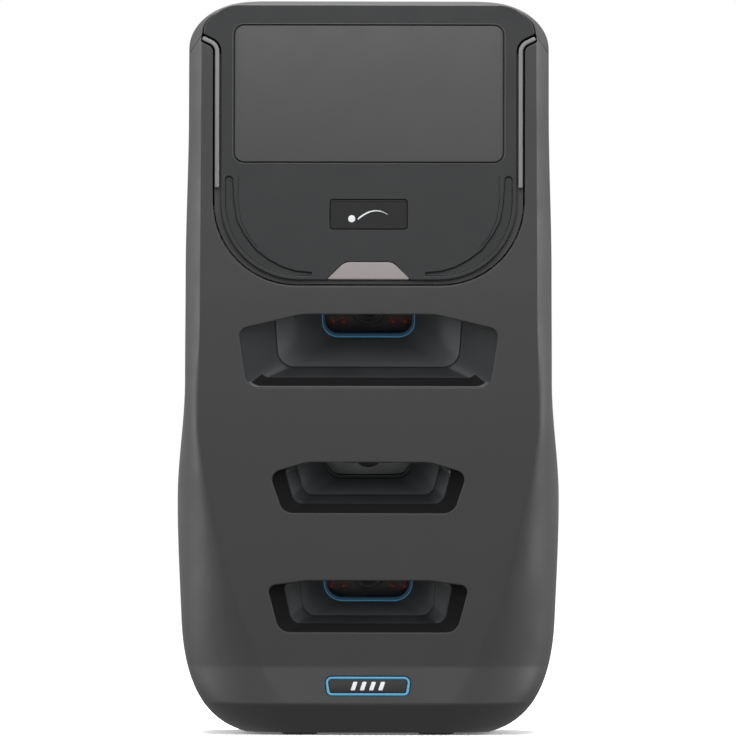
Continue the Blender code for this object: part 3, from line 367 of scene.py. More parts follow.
def casing_form(name, inset, fine=True):
    shrink = (HEIGHT - CASE_BOTTOM - 2 * inset) / (HEIGHT - CASE_BOTTOM)
    rings = []
    for z in casing_levels(fine):
        at_z = CASE_BOTTOM + inset + (z - CASE_BOTTOM) * shrink
        rings.append(casing_ring(z, at_z, inset, 16 if fine else 6))
    return loft(name, rings)


# ---------------------------------------------------------------- places

def facing_up(x=0.0, y=0.0, z=0.0):
    return Matrix.Translation((x * MM, y * MM, z * MM))


def facing_front(x, y, z, tilt=0.0):
    return facing_up(x, y, z) @ Matrix.Rotation(math.pi / 2 + tilt, 4, "X")


def facing_rear(x, y, z):
    turn = Matrix.Rotation(math.pi, 4, "Z") @ Matrix.Rotation(math.pi / 2, 4, "X")
    return facing_up(x, y, z) @ turn


def facing_side(x, y, z):
    turn = Matrix.Rotation(math.pi / 2, 4, "Z") @ Matrix.Rotation(math.pi / 2, 4, "X")
    return facing_up(x, y, z) @ turn


def moved(place, u, v, depth=0.0):
    return place @ Matrix.Translation((u * MM, v * MM, -depth * MM))


def bezel_frame():
    return moved(facing_front(0, FRONT_Y, LEAN_START, -LEAN), 0, -LEAN_START)


def chin_frame():
    z = (LIP_HEIGHT + CHIN_TOP) / 2
    slope = math.atan2(RECESS_DEPTH, CHIN_TOP - LIP_HEIGHT)
    return moved(facing_front(0, creased_front_y(z), z, -slope), 0, -z)


def camera_frame(aperture):
    """The tilted plane of an aperture's window, with its origin at the middle of the window's lower edge."""
    z = aperture["window_z"]
    return facing_front(0, creased_front_y(z) + aperture["window_depth"], z, aperture["look_down"])


def on(place):
    """Puts an outline at a depth behind the plane of a place."""
    def put(outline, depth):
        points = []
        for u, v in outline:
            point = place @ Vector((u * MM, v * MM, -depth * MM))
            points.append(tuple(point / MM))
        return points
    return put


def on_front(outline, depth):
    return [(x, front_y(z) + depth, z) for x, z in outline]


def on_rear(outline, depth):
    return [(x, rear_y(z) - depth, z) for x, z in outline]


# ---------------------------------------------------------------- meshes

def new_object(name, data):
    obj = bpy.data.objects.new(name, data)
    bpy.context.scene.collection.objects.link(obj)
    return obj


def from_bmesh(name, shape, angle=30):
    bmesh.ops.recalc_face_normals(shape, faces=shape.faces)
    mesh = bpy.data.meshes.new(name)
    shape.to_mesh(mesh)
    shape.free()
    mesh.shade_smooth()
    mesh.set_sharp_from_angle(angle=math.radians(angle))
    return new_object(name, mesh)


def loft(name, rings, closed=False, angle=30):
    """A skin through rings of equally many points, in millimetres, capped unless it closes on itself."""
    shape = bmesh.new()
    rows = [[shape.verts.new([value * MM for value in point]) for point in ring] for ring in rings]
    pairs = list(zip(rows, rows[1:]))
    if closed:
        pairs.append((rows[-1], rows[0]))
    count = len(rows[0])
    for low, high in pairs:
        for i in range(count):
            j = (i + 1) % count
            shape.faces.new((low[i], low[j], high[j], high[i]))
    if not closed:
        shape.faces.new(reversed(rows[0]))
        shape.faces.new(rows[-1])
    return from_bmesh(name, shape, angle)


def fillet(radius, steps=5):
    """(inset, drop) pairs round an edge from its top face to its side."""
    if radius <= 0:
        return [(0.0, 0.0)]
    pairs = []
    for step in range(steps + 1):
        angle = math.pi / 2 * step / steps
        pairs.append((radius * (1 - math.sin(angle)), radius * (1 - math.cos(angle))))
    return pairs


def slab(name, outline, near, far, put, edge=0.4, back=0.0):
    """A flat piece between two depths, with a rounded front edge and, if asked, a rounded back edge."""
    rings = [put(offset(outline, -inset), near + drop) for inset, drop in fillet(edge)]
    rings += [put(offset(outline, -inset), far - drop) for inset, drop in reversed(fillet(back))]
    return loft(name, rings)


def band(name, outer, inner, near, far, put, edge=0.3):
    """A flat ring with rounded front edges."""
    rings = [put(offset(outer, -inset), near + drop) for inset, drop in fillet(edge)]
    rings += [put(outer, far), put(inner, far)]
    rings += [put(offset(inner, inset), near + drop) for inset, drop in reversed(fillet(edge))]
    return loft(name, rings, closed=True)


def punch(name, outline, surface, bottom, put, edge=0.5, floor=0.0):
    """A cutter that leaves a rounded edge where it enters a face, and a rounded floor if asked."""
    rings = [put(offset(outline, edge), surface - PUNCH_REACH)]
    rings += [put(offset(outline, inset), surface + drop) for inset, drop in fillet(edge)]
    rings += [put(offset(outline, -inset), bottom - drop) for inset, drop in reversed(fillet(floor))]
    return loft(name, rings)


def turned(name, profile, place, steps=64, angle=30):
    """A turned piece from (radius, depth) pairs down its outer side; radius 0 closes it on the axis."""
    shape = bmesh.new()
    rows = []
    for radius, depth in profile:
        count = steps if radius > 0 else 1
        row = []
        for step in range(count):
            turn = 2 * math.pi * step / steps
            point = Vector((radius * math.cos(turn) * MM, radius * math.sin(turn) * MM, -depth * MM))
            row.append(shape.verts.new(place @ point))
        rows.append(row)
    pairs = list(zip(rows, rows[1:]))
    if profile[0][0] > 0:
        pairs.append((rows[-1], rows[0]))
    for low, high in pairs:
        for i in range(steps):
            j = (i + 1) % steps
            corners = [low[i % len(low)], low[j % len(low)], high[j % len(high)], high[i % len(high)]]
            kept = [corner for k, corner in enumerate(corners) if corner not in corners[:k]]
            shape.faces.new(kept)
    return from_bmesh(name, shape, angle)


def rod(name, radius, near, far, place, steps=32):
    return turned(name, ((0, near), (radius, near), (radius, far), (0, far)), place, steps)


def bend(radius, depth, size, start, end, steps=5):
    """Profile points round an arc; angles in degrees, 0 outwards and 90 towards the front."""
    points = []
    for step in range(steps + 1):
        angle = math.radians(start + (end - start) * step / steps)
        points.append((radius + size * math.cos(angle), depth - size * math.sin(angle)))
    return points


def combine(obj, others, operation, solver="MANIFOLD"):
    """Booleans the others into obj for good, and removes them."""
    for other in others:
        step = obj.modifiers.new("combine", "BOOLEAN")
        step.operation = operation
        step.object = other
        step.solver = solver
    graph = bpy.context.evaluated_depsgraph_get()
    mesh = bpy.data.meshes.new_from_object(obj.evaluated_get(graph))
    obj.modifiers.clear()
    obj.data = mesh
    for other in others:
        bpy.data.objects.remove(other, do_unlink=True)
    if not mesh.polygons:
        raise RuntimeError(f"{obj.name}: nothing is left after {operation}")
    return obj


def cut(obj, *others):
    return combine(obj, others, "DIFFERENCE")


def join(obj, *others):
    return combine(obj, others, "UNION")


def keep(obj, *others):
    return combine(obj, others, "INTERSECT")


def settle(obj, angle=32):
    """Smooth shading that keeps the broad faces flat beside narrow rounded edges."""
    obj.data.shade_smooth()
    obj.data.set_sharp_from_angle(angle=math.radians(angle))
    normals = obj.modifiers.new("normals", "WEIGHTED_NORMAL")
    normals.keep_sharp = True
    normals.weight = 100
    return obj


# ---------------------------------------------------------------- materials

# Patches are this many times the grain's size. Relief, wear's reach from an edge and its grain are lengths.
COAT_ROUGHNESS, PATCH_TO_GRAIN, RELIEF_HEIGHT = 0.08, 60, 0.2
WEAR_REACH, WEAR_GRAIN, WEAR_LIFT = 0.5, 2.5, 2.2


def add_node(look, kind, **settings):
    """A node of a material: names of inputs and properties are given with spaces as underscores."""
    node = look.node_tree.nodes.new(kind)
    for name, value in settings.items():
        title = name.replace("_", " ")
        if title in node.inputs:
            socket = node.inputs[title]
            if isinstance(value, bpy.types.NodeSocket):
                look.node_tree.links.new(value, socket)
            else:
                socket.default_value = value
        else:
            setattr(node, name, value)
    return node


def grain(look, size, detail=2.0, roughness=0.5, stretch=(1, 1, 1)):
    """Noise whose features are about the given size, as a value from 0 to 1."""
    where = add_node(look, "ShaderNodeTexCoord")
    spread = add_node(look, "ShaderNodeMapping", Vector=where.outputs["Object"], Scale=stretch)
    noise = add_node(
        look, "ShaderNodeTexNoise", Vector=spread.outputs["Vector"], Scale=1 / (size * MM), Detail=detail,
        Roughness=roughness,
    )
    return noise.outputs["Fac"]


def ranged(look, value, low, high, start=0.3, end=0.7):
    node = add_node(
        look, "ShaderNodeMapRange", Value=value, From_Min=start, From_Max=end, To_Min=low, To_Max=high
    )
    return node.outputs["Result"]


def mixed(look, share, first, second):
    node = look.node_tree.nodes.new("ShaderNodeMix")
    node.data_type = "RGBA"
    for socket, value in ((node.inputs["Factor"], share), (node.inputs[6], first), (node.inputs[7], second)):
        if isinstance(value, bpy.types.NodeSocket):
            look.node_tree.links.new(value, socket)
        elif isinstance(value, tuple):
            socket.default_value = (*value, 1.0)
        else:
            socket.default_value = value
    return node.outputs[2]


def edge_share(look, reach):
    """Nearly 1 along sharp edges and 0 on open faces, from how far a bevelled normal leans."""
    soft = add_node(look, "ShaderNodeBevel", samples=4, Radius=reach * MM)
    real = add_node(look, "ShaderNodeNewGeometry")
    match = look.node_tree.nodes.new("ShaderNodeVectorMath")
    match.operation = "DOT_PRODUCT"
    look.node_tree.links.new(soft.outputs["Normal"], match.inputs[0])
    look.node_tree.links.new(real.outputs["Normal"], match.inputs[1])
    return ranged(look, match.outputs["Value"], 1.0, 0.0, 0.72, 0.99)


def scaled(colour, share):
    return tuple(value * share for value in colour)


def surface(name, colour, roughness, metallic=0.0, size=0.35, relief=0.06, patch=0.05, spread=0.05, wear=0.0,
            coat=0.0, stretch=(1, 1, 1), specular=0.5, emission=None, strength=0.0, opacity=1.0):
    """A moulded, painted or machined surface: fine relief, uneven gloss, slow patches and worn edges."""
    look = bpy.data.materials.new(name)
    look.use_nodes = True
    shader = look.node_tree.nodes["Principled BSDF"]
    shader.inputs["Metallic"].default_value = metallic
    shader.inputs["Specular IOR Level"].default_value = specular
    shader.inputs["Coat Weight"].default_value = coat
    shader.inputs["Coat Roughness"].default_value = COAT_ROUGHNESS
    shader.inputs["Alpha"].default_value = opacity
    link = look.node_tree.links.new
    fine = grain(look, size, stretch=stretch)
    slow = grain(look, size * PATCH_TO_GRAIN, detail=3.0)
    base = mixed(look, ranged(look, slow, 0.0, 1.0), scaled(colour, 1 - patch), scaled(colour, 1 + patch))
    speck = mixed(look, ranged(look, fine, 0.0, 0.3), base, scaled(colour, 1 + 3 * patch))
    if wear > 0:
        edges = look.node_tree.nodes.new("ShaderNodeMath")
        edges.operation = "MULTIPLY"
        link(edge_share(look, WEAR_REACH), edges.inputs[0])
        link(ranged(look, grain(look, WEAR_GRAIN), 0.0, wear), edges.inputs[1])
        speck = mixed(look, edges.outputs["Value"], speck, scaled(colour, WEAR_LIFT))
    link(speck, shader.inputs["Base Color"])
    link(ranged(look, slow, roughness - spread, roughness + spread), shader.inputs["Roughness"])
    bump = add_node(look, "ShaderNodeBump", Strength=relief, Distance=RELIEF_HEIGHT * MM, Height=fine)
    link(bump.outputs["Normal"], shader.inputs["Normal"])
    if emission:
        shader.inputs["Emission Color"].default_value = (*emission, 1.0)
        shader.inputs["Emission Strength"].default_value = strength
    return look


# Each finish: colour, roughness, and what else differs from a plain moulded surface.
FINISHES = {
    "shell": ((0.022, 0.022, 0.0226), 0.54, dict(wear=0.25, specular=0.35)),
    "rear_shell": ((0.022, 0.022, 0.0226), 0.55, dict(wear=0.25, relief=0.1, specular=0.35)),
    "bezel": ((0.0085, 0.0093, 0.0101), 0.45, dict(size=0.25, relief=0.03, wear=0.1, specular=0.32)),
    "display": ((0.037, 0.037, 0.037), 0.46, dict(size=0.2, relief=0.01, patch=0.015, specular=0.35)),
    "trim": ((0.13, 0.13, 0.13), 0.4, dict(size=0.25, relief=0.03)),
    "light": ((0.17, 0.15, 0.152), 0.35, dict(size=0.3, relief=0.03, patch=0.03)),
    "badge": ((0.006, 0.0062, 0.0068), 0.3, dict(size=0.2, relief=0.03, specular=0.2)),
    "mark": ((0.56, 0.57, 0.59), 0.35, dict(size=0.2, relief=0.03, patch=0.02)),
    "blue": ((0.004, 0.03, 0.08), 0.3, dict(size=0.3, relief=0.02, emission=(0.02, 0.2, 0.5), strength=0.03)),
    "glow": ((0.035, 0.17, 0.28), 0.3, dict(size=0.3, relief=0.02, emission=(0.1, 0.5, 0.8), strength=0.12)),
    "hood": ((0.010, 0.0111, 0.0125), 0.38, dict(size=0.25, relief=0.03, wear=0.1, specular=0.3)),
    # Painted shade and dark reflection: a darker, duller copy of the hood finish, for the rows just inside
    # the mouths.
    "sill": ((0.006, 0.006, 0.0066), 0.5, dict(size=0.4, relief=0.01, specular=0.04)),
    # Painted light: a lighter copy of the hood finish, for the funnels' deep rows, and a painted highlight on
    # the upper mouth's lower lip.
    "painted_light_hood": ((0.042, 0.045, 0.048), 0.42, dict(size=0.25, relief=0.03, specular=0.35)),
    "recess": ((0.016, 0.016, 0.017), 0.5, dict(size=0.3, relief=0.03)),
    "lens": ((0.004, 0.004, 0.005), 0.06, dict(size=0.4, relief=0.004, coat=1.0)),
    "barrel": ((0.012, 0.012, 0.013), 0.3, dict(size=0.2, relief=0.02, specular=0.3)),
    "window": ((0.01, 0.008, 0.008), 0.05, dict(size=0.6, relief=0.003, opacity=0.22)),
    "lamp": ((0.09, 0.012, 0.006), 0.2, dict(size=0.6, relief=0.03, patch=0.3,
                                             emission=(0.5, 0.08, 0.04), strength=0.03)),
    "board": ((0.03, 0.022, 0.02), 0.45, dict(size=0.4, relief=0.12, patch=0.2)),
    "metal": ((0.55, 0.56, 0.57), 0.38, dict(metallic=1.0, size=0.2, relief=0.05, stretch=(1, 1, 9))),
    "steel": ((0.5, 0.5, 0.51), 0.28, dict(metallic=1.0, size=0.15, relief=0.05, wear=0.3)),
    "battery": ((0.05, 0.09, 0.2), 0.5, dict(size=0.5, relief=0.05)),
    "rubber": ((0.018, 0.018, 0.018), 0.75, dict(size=0.45, relief=0.2, wear=0.3)),
    "green": ((0.02, 0.09, 0.04), 0.45, dict(size=0.4, relief=0.12, patch=0.2)),
}
LOOKS = {
    name: surface(name, colour, roughness, **more) for name, (colour, roughness, more) in FINISHES.items()
}


# ---------------------------------------------------------------- pieces of the object

def finish_piece(obj, body, look, nodes=()):
    """Gives a piece its material and body, and hides the CAD nodes that it stands for."""
    obj.data.materials.clear()
    obj.data.materials.append(LOOKS[look])
    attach(obj, body)
    if nodes:
        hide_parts(*nodes)
    return obj


def front_zone(name, margin):
    """The space of the front shell: ahead of the seam, and below the slanting ends of its two arms."""
    (low_x, low_z), (high_x, high_z) = ARM_CUT
    outline = [
        (-low_x, -10), (low_x, -10), (low_x, low_z + margin), (high_x, high_z + margin),
        (-high_x, high_z + margin), (-low_x, low_z + margin),
    ]
    return slab(name, outline, -10, SEAM_Y - FRONT_Y + margin, on(facing_front(0, FRONT_Y, 0)), edge=0)


def base_opening(name):
    return slab(name, rounded(grown(BASE_OUTLINE, GAP), 5), -8, 8, on(facing_up(0, 0, CASE_BOTTOM)), edge=0)


def bezel_opening():
    return rounded(mirrored(SHELL_OPENING), 14)


def build_front_shell():
    shell = casing_form("front_shell_skin", 0.0)
    cut(shell, casing_form("hollow", WALL, fine=False))
    keep(shell, front_zone("space", 0.0))
    cutters = [punch("bezel_mouth", bezel_opening(), 0.0, 14, on(bezel_frame()), edge=0.8)]
    for key, aperture in APERTURES.items():
        outline = rounded(mirrored(aperture["mouth"]), 12)
        cutters.append(punch(f"{key}_mouth", outline, 0.0, 8, on_front, edge=0.6))
    seat = rounded(grown(LOWER_BADGE, GAP), 8)
    cutters.append(punch("badge_seat", seat, 0.0, 5, on(chin_frame()), edge=0.25))
    cutters.append(base_opening("base"))
    cut(shell, *cutters)
    settle(shell)
    finish_piece(shell, "housing", "shell", ["front_shell"])


def build_rear_shell():
    shell = casing_form("rear_shell_skin", 0.0)
    cut(shell, casing_form("hollow", WALL, fine=False))
    cut(shell, front_zone("space", GAP))
    limit = casing_form("limit", WALL / 2, fine=False)
    tubes = []
    for index, (x, z) in enumerate(SCREW_PLACES):
        tubes.append(rod(f"tube_{index}", TUBE_RADIUS, 0, REAR_Y - TUBE_FRONT_Y, facing_rear(x, REAR_Y, z)))
    for tube in tubes[1:]:
        join(tubes[0], tube)
    keep(tubes[0], limit)
    join(shell, tubes[0])
    rear = on(facing_rear(0, REAR_Y, 0))
    cutters = [slab("bezel_space", bezel_opening(), -12, 4.8, on(bezel_frame()), edge=0)]
    seat = REAR_Y - SCREW_SEAT_Y
    profile = [(0, -5), (HEAD_BORE, -5), (HEAD_BORE, seat)]
    profile += [(SHANK_BORE, seat), (SHANK_BORE, REAR_Y), (0, REAR_Y)]
    for index, (x, z) in enumerate(SCREW_PLACES):
        cutters.append(turned(f"bore_{index}", profile, facing_rear(x, REAR_Y, z), 32))
    cutters.append(punch("bay_opening", rectangle(BAY_HALF, *BAY_Z, 3), 0.0, 12, rear, edge=0.6))
    tray = rectangle(TRAY_HALF + GAP, TRAY_Z[0] - GAP, TRAY_Z[1] + GAP, 6, steps=12)
    cutters.append(punch("tray_opening", tray, 0.0, 30, on_rear, edge=1.2))
    x, z = BUTTON_PLACE
    cutters.append(punch("button_hole", circle(BUTTON_RADIUS + GAP, x, z), 0.0, 12, on_rear, edge=0.8))
    for index in range(VENT_COUNT):
        z = VENT_Z + index * VENT_PITCH
        vent = rectangle(VENT_HALF, z, z + VENT_HEIGHT, VENT_RADIUS, steps=6)
        cutters.append(punch(f"vent_{index}", vent, 0.0, 14, on_rear, edge=0.6))
    slot = rectangle(WHEEL_SLOT_HALF, WHEEL_Z[0] - WHEEL_SLOT_MARGIN, WHEEL_Z[1] + WHEEL_SLOT_MARGIN, 3)
    cutters.append(punch("wheel_slot", slot, 0.0, 12, on_rear, edge=0.5))
    cutters.append(base_opening("base"))
    cut(shell, *cutters)
    settle(shell)
    finish_piece(shell, "housing", "rear_shell", ["rear_shell"])


# ---------------------------------------------------------------- display bezel and badges

def groove_outline(side):
    """One side's groove along the bezel's rounded lower edge: a finger at the top, a narrow tip below."""
    outline = [(GROOVE_CENTRE[0] + GROOVE_RADIUS, FINGER_PLACE[1])]
    outline += arc(*GROOVE_CENTRE, GROOVE_RADIUS, 0.0, -math.pi / 2, 14)
    outline += list(GROOVE_INNER)
    outline += arc(*FINGER_PLACE, FINGER_RADIUS, math.pi, -math.pi, 8)[1:-1]
    outline = [(-x, z) for x, z in outline]
    return outline if side < 0 else flipped(outline)


def crease_outline(side):
    """The fine line that runs down beside the groove and closes on it."""
    outline = [(-x - CREASE_HALF, z) for x, z in CREASE_LINE]
    outline += [(-x + CREASE_HALF, z) for x, z in reversed(CREASE_LINE)]
    return outline if side < 0 else flipped(outline)


def display_pocket():
    half, low, high, radius = DISPLAY
    return rectangle(half + POCKET_GAP, low - POCKET_GAP, high + 0.45, radius + 0.5)


def build_bezel():
    put = on(bezel_frame())
    bezel = slab("display_bezel_skin", rounded(mirrored(BEZEL_OUTLINE), 14), BEZEL_TOP, 4.5, put, edge=0.45)
    half, low, high, radius = DISPLAY
    lens = [(x, z, corner[2]) for (x, z, _), corner in zip(grown(STATUS_LENS, GAP), STATUS_LENS)]
    cutters = [
        punch("pocket", display_pocket(), BEZEL_TOP, 2.6, put, edge=0.35),
        slab("ledge", rectangle(half - 3.5, low + 3.5, high - 3.5, 2), -1, 6, put, edge=0),
        slab("lens_hole", rounded(lens, 8), -1, 6, put, edge=0),
    ]
    half, low, high, radius = BADGE
    seat = rectangle(half + GAP, low - GAP, high + GAP, radius + GAP)
    cutters.append(punch("badge_seat", seat, BEZEL_TOP, 2.4, put, edge=0.2))
    for side in (-1, 1):
        groove = groove_outline(side)
        cutters.append(punch(f"groove_{side}", groove, BEZEL_TOP, 1.7, put, edge=0.5, floor=0.45))
        cutters.append(punch(f"crease_{side}", crease_outline(side), BEZEL_TOP, 1.0, put, edge=0.12))
    cut(bezel, *cutters)
    settle(bezel)
    finish_piece(bezel, "housing", "bezel", ["display_bezel"])
    skirt = slab("bezel_skirt_skin", rounded(BEZEL_SKIRT, 12), *SKIRT_DEPTHS, put, edge=0.15)
    cut(skirt, slab("lens_space", rounded(lens, 8), -1, 6, put, edge=0))
    settle(skirt)
    finish_piece(skirt, "housing", "recess")


def build_display():
    put = on(bezel_frame())
    half, low, high, radius = DISPLAY
    glass = slab("display_window_glass", rectangle(half, low, high, radius), 0.75, 2.3, put, edge=0.4)
    finish_piece(glass, "housing", "display", ["display_window"])
    # The rim round the pocket takes the display's lighter finish: a real raised rim, with a painted highlight
    # in its colour along the pocket's edge.
    reach = POCKET_GAP + RIM_WIDTH
    outer = rectangle(half + reach, low - reach, high + 0.9, radius + 0.9)
    rim = band("display_highlight_rim", outer, display_pocket(), BEZEL_TOP - 0.1, BEZEL_TOP + 0.8, put, edge=0.2)
    finish_piece(rim, "housing", "display")
    lens = slab("status_lens", rounded(STATUS_LENS, 10), 0.4, 4.5, put, edge=0.5)
    finish_piece(lens, "housing", "light", ["status_light_lens"])


def build_upper_badge():
    """A name plate that carries only a plain mark: a ball and the arc of its flight."""
    put = on(bezel_frame())
    half, low, high, radius = BADGE
    plate = slab("upper_badge_plate", rectangle(half, low, high, radius), 0.75, 2.1, put, edge=0.25)
    recess = rectangle(half - 0.7, low + 0.7, high - 0.7, radius - 0.5)
    cut(plate, punch("field", recess, 0.75, 1.0, put, edge=0.1))
    settle(plate)
    finish_piece(plate, "housing", "badge", ["upper_badge"])
    ball = slab("upper_mark_ball", circle(BALL_RADIUS, BALL_X, low + BALL_RISE, 32), 0.8, 1.1, put, edge=0.1)
    finish_piece(ball, "housing", "mark")
    path = []
    for sign in (1, -1):
        for step in range(25):
            t = step / 24 if sign > 0 else 1 - step / 24
            z = low + FLIGHT_BASE + FLIGHT_RISE * math.sin(math.pi * (0.12 + 0.62 * t))
            path.append((FLIGHT_START + FLIGHT_LENGTH * t, z - sign * FLIGHT_HALF * (1 - 0.75 * t)))
    flight = slab("upper_mark_flight", path, 0.8, 1.1, put, edge=0.08)
    finish_piece(flight, "housing", "mark")


def build_trims():
    """Round-edged strips in the gap between the bezel and the arms of the front shell."""
    right = rounded([(x, z, max(radius, TRIM_EDGE + 0.1)) for x, z, radius in TRIM_OUTLINE], 8)
    for name, outline in (("trim_left", flipped(right)), ("trim_right", right)):
        bead = slab(f"{name}_bead", outline, *TRIM_DEPTHS, on(bezel_frame()), edge=TRIM_EDGE)
        finish_piece(bead, "housing", "trim", [name])


def build_lower_badge():
    put = on(chin_frame())
    outer = rounded(LOWER_BADGE, 8)
    inner = rounded(grown(LOWER_BADGE, -LOWER_BADGE_RIM), 8)
    rim = band("lower_badge_rim", outer, inner, -0.15, 2.6, put, edge=0.4)
    finish_piece(rim, "housing", "glow", ["lower_badge_ring"])
    face = rounded(grown(LOWER_BADGE, -LOWER_BADGE_RIM - 0.1), 8)
    plate = slab("lower_badge_plate", face, 0.35, 2.6, put, edge=0.3)
    finish_piece(plate, "housing", "badge", ["lower_badge"])
    low, high = BAR_Z
    for index in range(BAR_COUNT):
        x = (index - (BAR_COUNT - 1) / 2) * BAR_PITCH
        left, right = x + BAR_FOOT[0], x + BAR_FOOT[1]
        bar = [(left, low, 0.3), (right, low, 0.3)]
        bar += [(right + BAR_SLANT, high, 0.3), (left + BAR_SLANT, high, 0.3)]
        mark = slab(f"lower_mark_{index}", rounded(bar, 4), 0.15, 0.6, put, edge=0.1)
        finish_piece(mark, "housing", "mark")


# ---------------------------------------------------------------- camera apertures

def blended(first, second, share):
    return [tuple(a + (b - a) * share for a, b in zip(p, q)) for p, q in zip(first, second)]


def hood_rings(aperture, wall=0.0, back=0.0):
    """A funnel's four key rings, from the mouth to the window, moved out and back for its outside."""
    mouth, sill, throat, window = (mirrored(aperture[part]) for part in ("mouth", "sill", "throat", "window"))
    return [
        on_front(rounded(grown(mouth, MOUTH_OVERLAP + wall)), HOOD_START),
        on_front(rounded(grown(sill, wall)), SILL_DEPTH + back),
        on_front(rounded(grown(throat, wall)), THROAT_DEPTH + back),
        on(camera_frame(aperture))(rounded(grown(window, wall)), back),
    ]


def build_hood(key, aperture):
    """The dark funnel from the mouth in the front shell to the camera's window, grooved at its throat."""
    keys = hood_rings(aperture)
    outside = hood_rings(aperture, HOOD_WALL, HOOD_BACK)
    rings = [keys[0]]
    for index, ahead in ((1, SILL_ROUND), (2, THROAT_ROUND)):
        before = blended(keys[index], keys[index - 1], SILL_ROUND)
        after = blended(keys[index], keys[index + 1], ahead)
        rings += [blended(keys[index - 1], keys[index], LIP_SHARE), before]
        pulled = [blended(side, keys[index], CORNER_PULL) for side in (before, after)]
        rings += [blended(*pulled, 0.5), after]
    for share, depth in THROAT_GROOVE:
        ring = blended(keys[2], keys[3], share)
        rings.append([(x, y + depth, z) for x, y, z in ring])
    rings += [blended(keys[2], keys[3], share) for share in FLOOR_SHARES]
    rings.append(keys[3])
    hood = loft(f"{key}_hood_skin", rings + list(reversed(outside)), closed=True, angle=24)
    finish_piece(hood, "housing", "hood", [f"{key}_hood"])
    hood.data.materials.append(LOOKS["sill"])
    hood.data.materials.append(LOOKS["painted_light_hood"])
    # Painted light and shade by rows: the darker sill finish just inside the mouth is painted shade and dark
    # reflection; the lighter finish on the upper mouth's upward lip is a painted highlight, and on the deep
    # rows near the window it is painted light.
    for polygon in hood.data.polygons:
        row = polygon.index // len(keys[0])
        if row < SILL_ROWS:
            if key != "upper":
                polygon.material_index = PAINTED_SHADE_LOOK
            elif polygon.normal.z > 0.3:
                polygon.material_index = PAINTED_LIGHT_LOOK if row == 0 else PAINTED_SHADE_LOOK
        elif PAINTED_LIGHT_ROW <= row < len(rings):
            polygon.material_index = PAINTED_LIGHT_LOOK


def dome_profile(radius, depth, rise, steps):
    """Profile points over a rounded front, from near the axis to its rim."""
    turns = [math.pi / 2 * step / steps for step in range(1, steps + 1)]
    return [(radius * math.sin(turn), depth + rise * (1 - math.cos(turn))) for turn in turns]


def build_camera(key, aperture):
    place = camera_frame(aperture)
    put = on(place)
    corners = mirrored(aperture["window"])
    outer = rounded(grown(corners, RING_REACH), 10)
    look = "hood" if key == "middle" else "blue"
    inner = rounded(grown(corners, -RING_INSET), 10)
    rim = band(f"{key}_ring_rim", outer, inner, *RING_DEPTHS, put, edge=0.3)
    finish_piece(rim, "housing", look, [f"{key}_ring"])
    if look == "blue":
        outside = rounded(grown(corners, LINE_REACH), 10)
        inside = rounded(grown(corners, -LINE_INSET), 10)
        line = band(f"{key}_ring_line", outside, inside, *LINE_DEPTHS, put, edge=0.1)
        finish_piece(line, "housing", "glow")
    glass = slab(f"{key}_window_glass", outer, *GLASS_DEPTHS, put, edge=0.2)
    finish_piece(glass, "housing", "window", [f"{key}_window"])
    radius = aperture["lens_radius"]
    place = moved(place, 0, aperture["lens_v"])
    steps = ((0, 9.0), (0.5, 8.0), (0.52, 7.4), (0.62, 7.0), (0.64, 6.3), (0.74, 6.0), (0.76, 5.5))
    profile = [(radius * share, depth) for share, depth in steps]
    profile += bend(radius - 0.5, 5.6, 0.5, 90, 0)
    profile += [(radius, 14.1), (radius + 1.2, 15.1), (radius + 1.2, BARREL_END), (0, BARREL_END)]
    barrel = turned(f"{key}_lens_barrel", profile, place)
    finish_piece(barrel, "housing", "barrel", [f"{key}_lens"])
    dome = [(0, 6.0)] + dome_profile(radius * 0.6, 6.0, radius * 0.28, 10) + [(0, 8.6)]
    element = turned(f"{key}_lens_glass", dome, place)
    finish_piece(element, "housing", "lens")


def build_led_board(key, aperture):
    """The board round the lens with its infrared lamps."""
    place = camera_frame(aperture)
    lens_v = aperture["lens_v"]
    outline = rectangle(20.0, -1.0, lens_v * 2 + 1.0, 2)
    board = slab(f"{key}_led_board_skin", outline, *BOARD_DEPTHS, on(place), edge=0.15)
    hole = slab("hole", circle(aperture["lens_radius"] + 0.6, 0, lens_v), 6, 10, on(place), edge=0)
    settle(cut(board, hole))
    finish_piece(board, "housing", "board", [f"{key}_led_board"])
    base = LAMP_RADIUS + 0.3
    profile = [(0, LAMP_DEPTH)] + dome_profile(LAMP_RADIUS, LAMP_DEPTH, 1.1, 6)
    profile += [(base, 6.5), (base, BOARD_DEPTHS[0]), (0, BOARD_DEPTHS[0])]
    for name, side in (("l", -1), ("r", 1)):
        for column, reach in enumerate(LAMP_COLUMNS):
            for row, v in enumerate(LAMP_ROWS):
                lamp = turned(f"{key}_lamp_{name}{column}{row}", profile, moved(place, side * reach, v), 24)
                finish_piece(lamp, "housing", "lamp")


# ---------------------------------------------------------------- rear

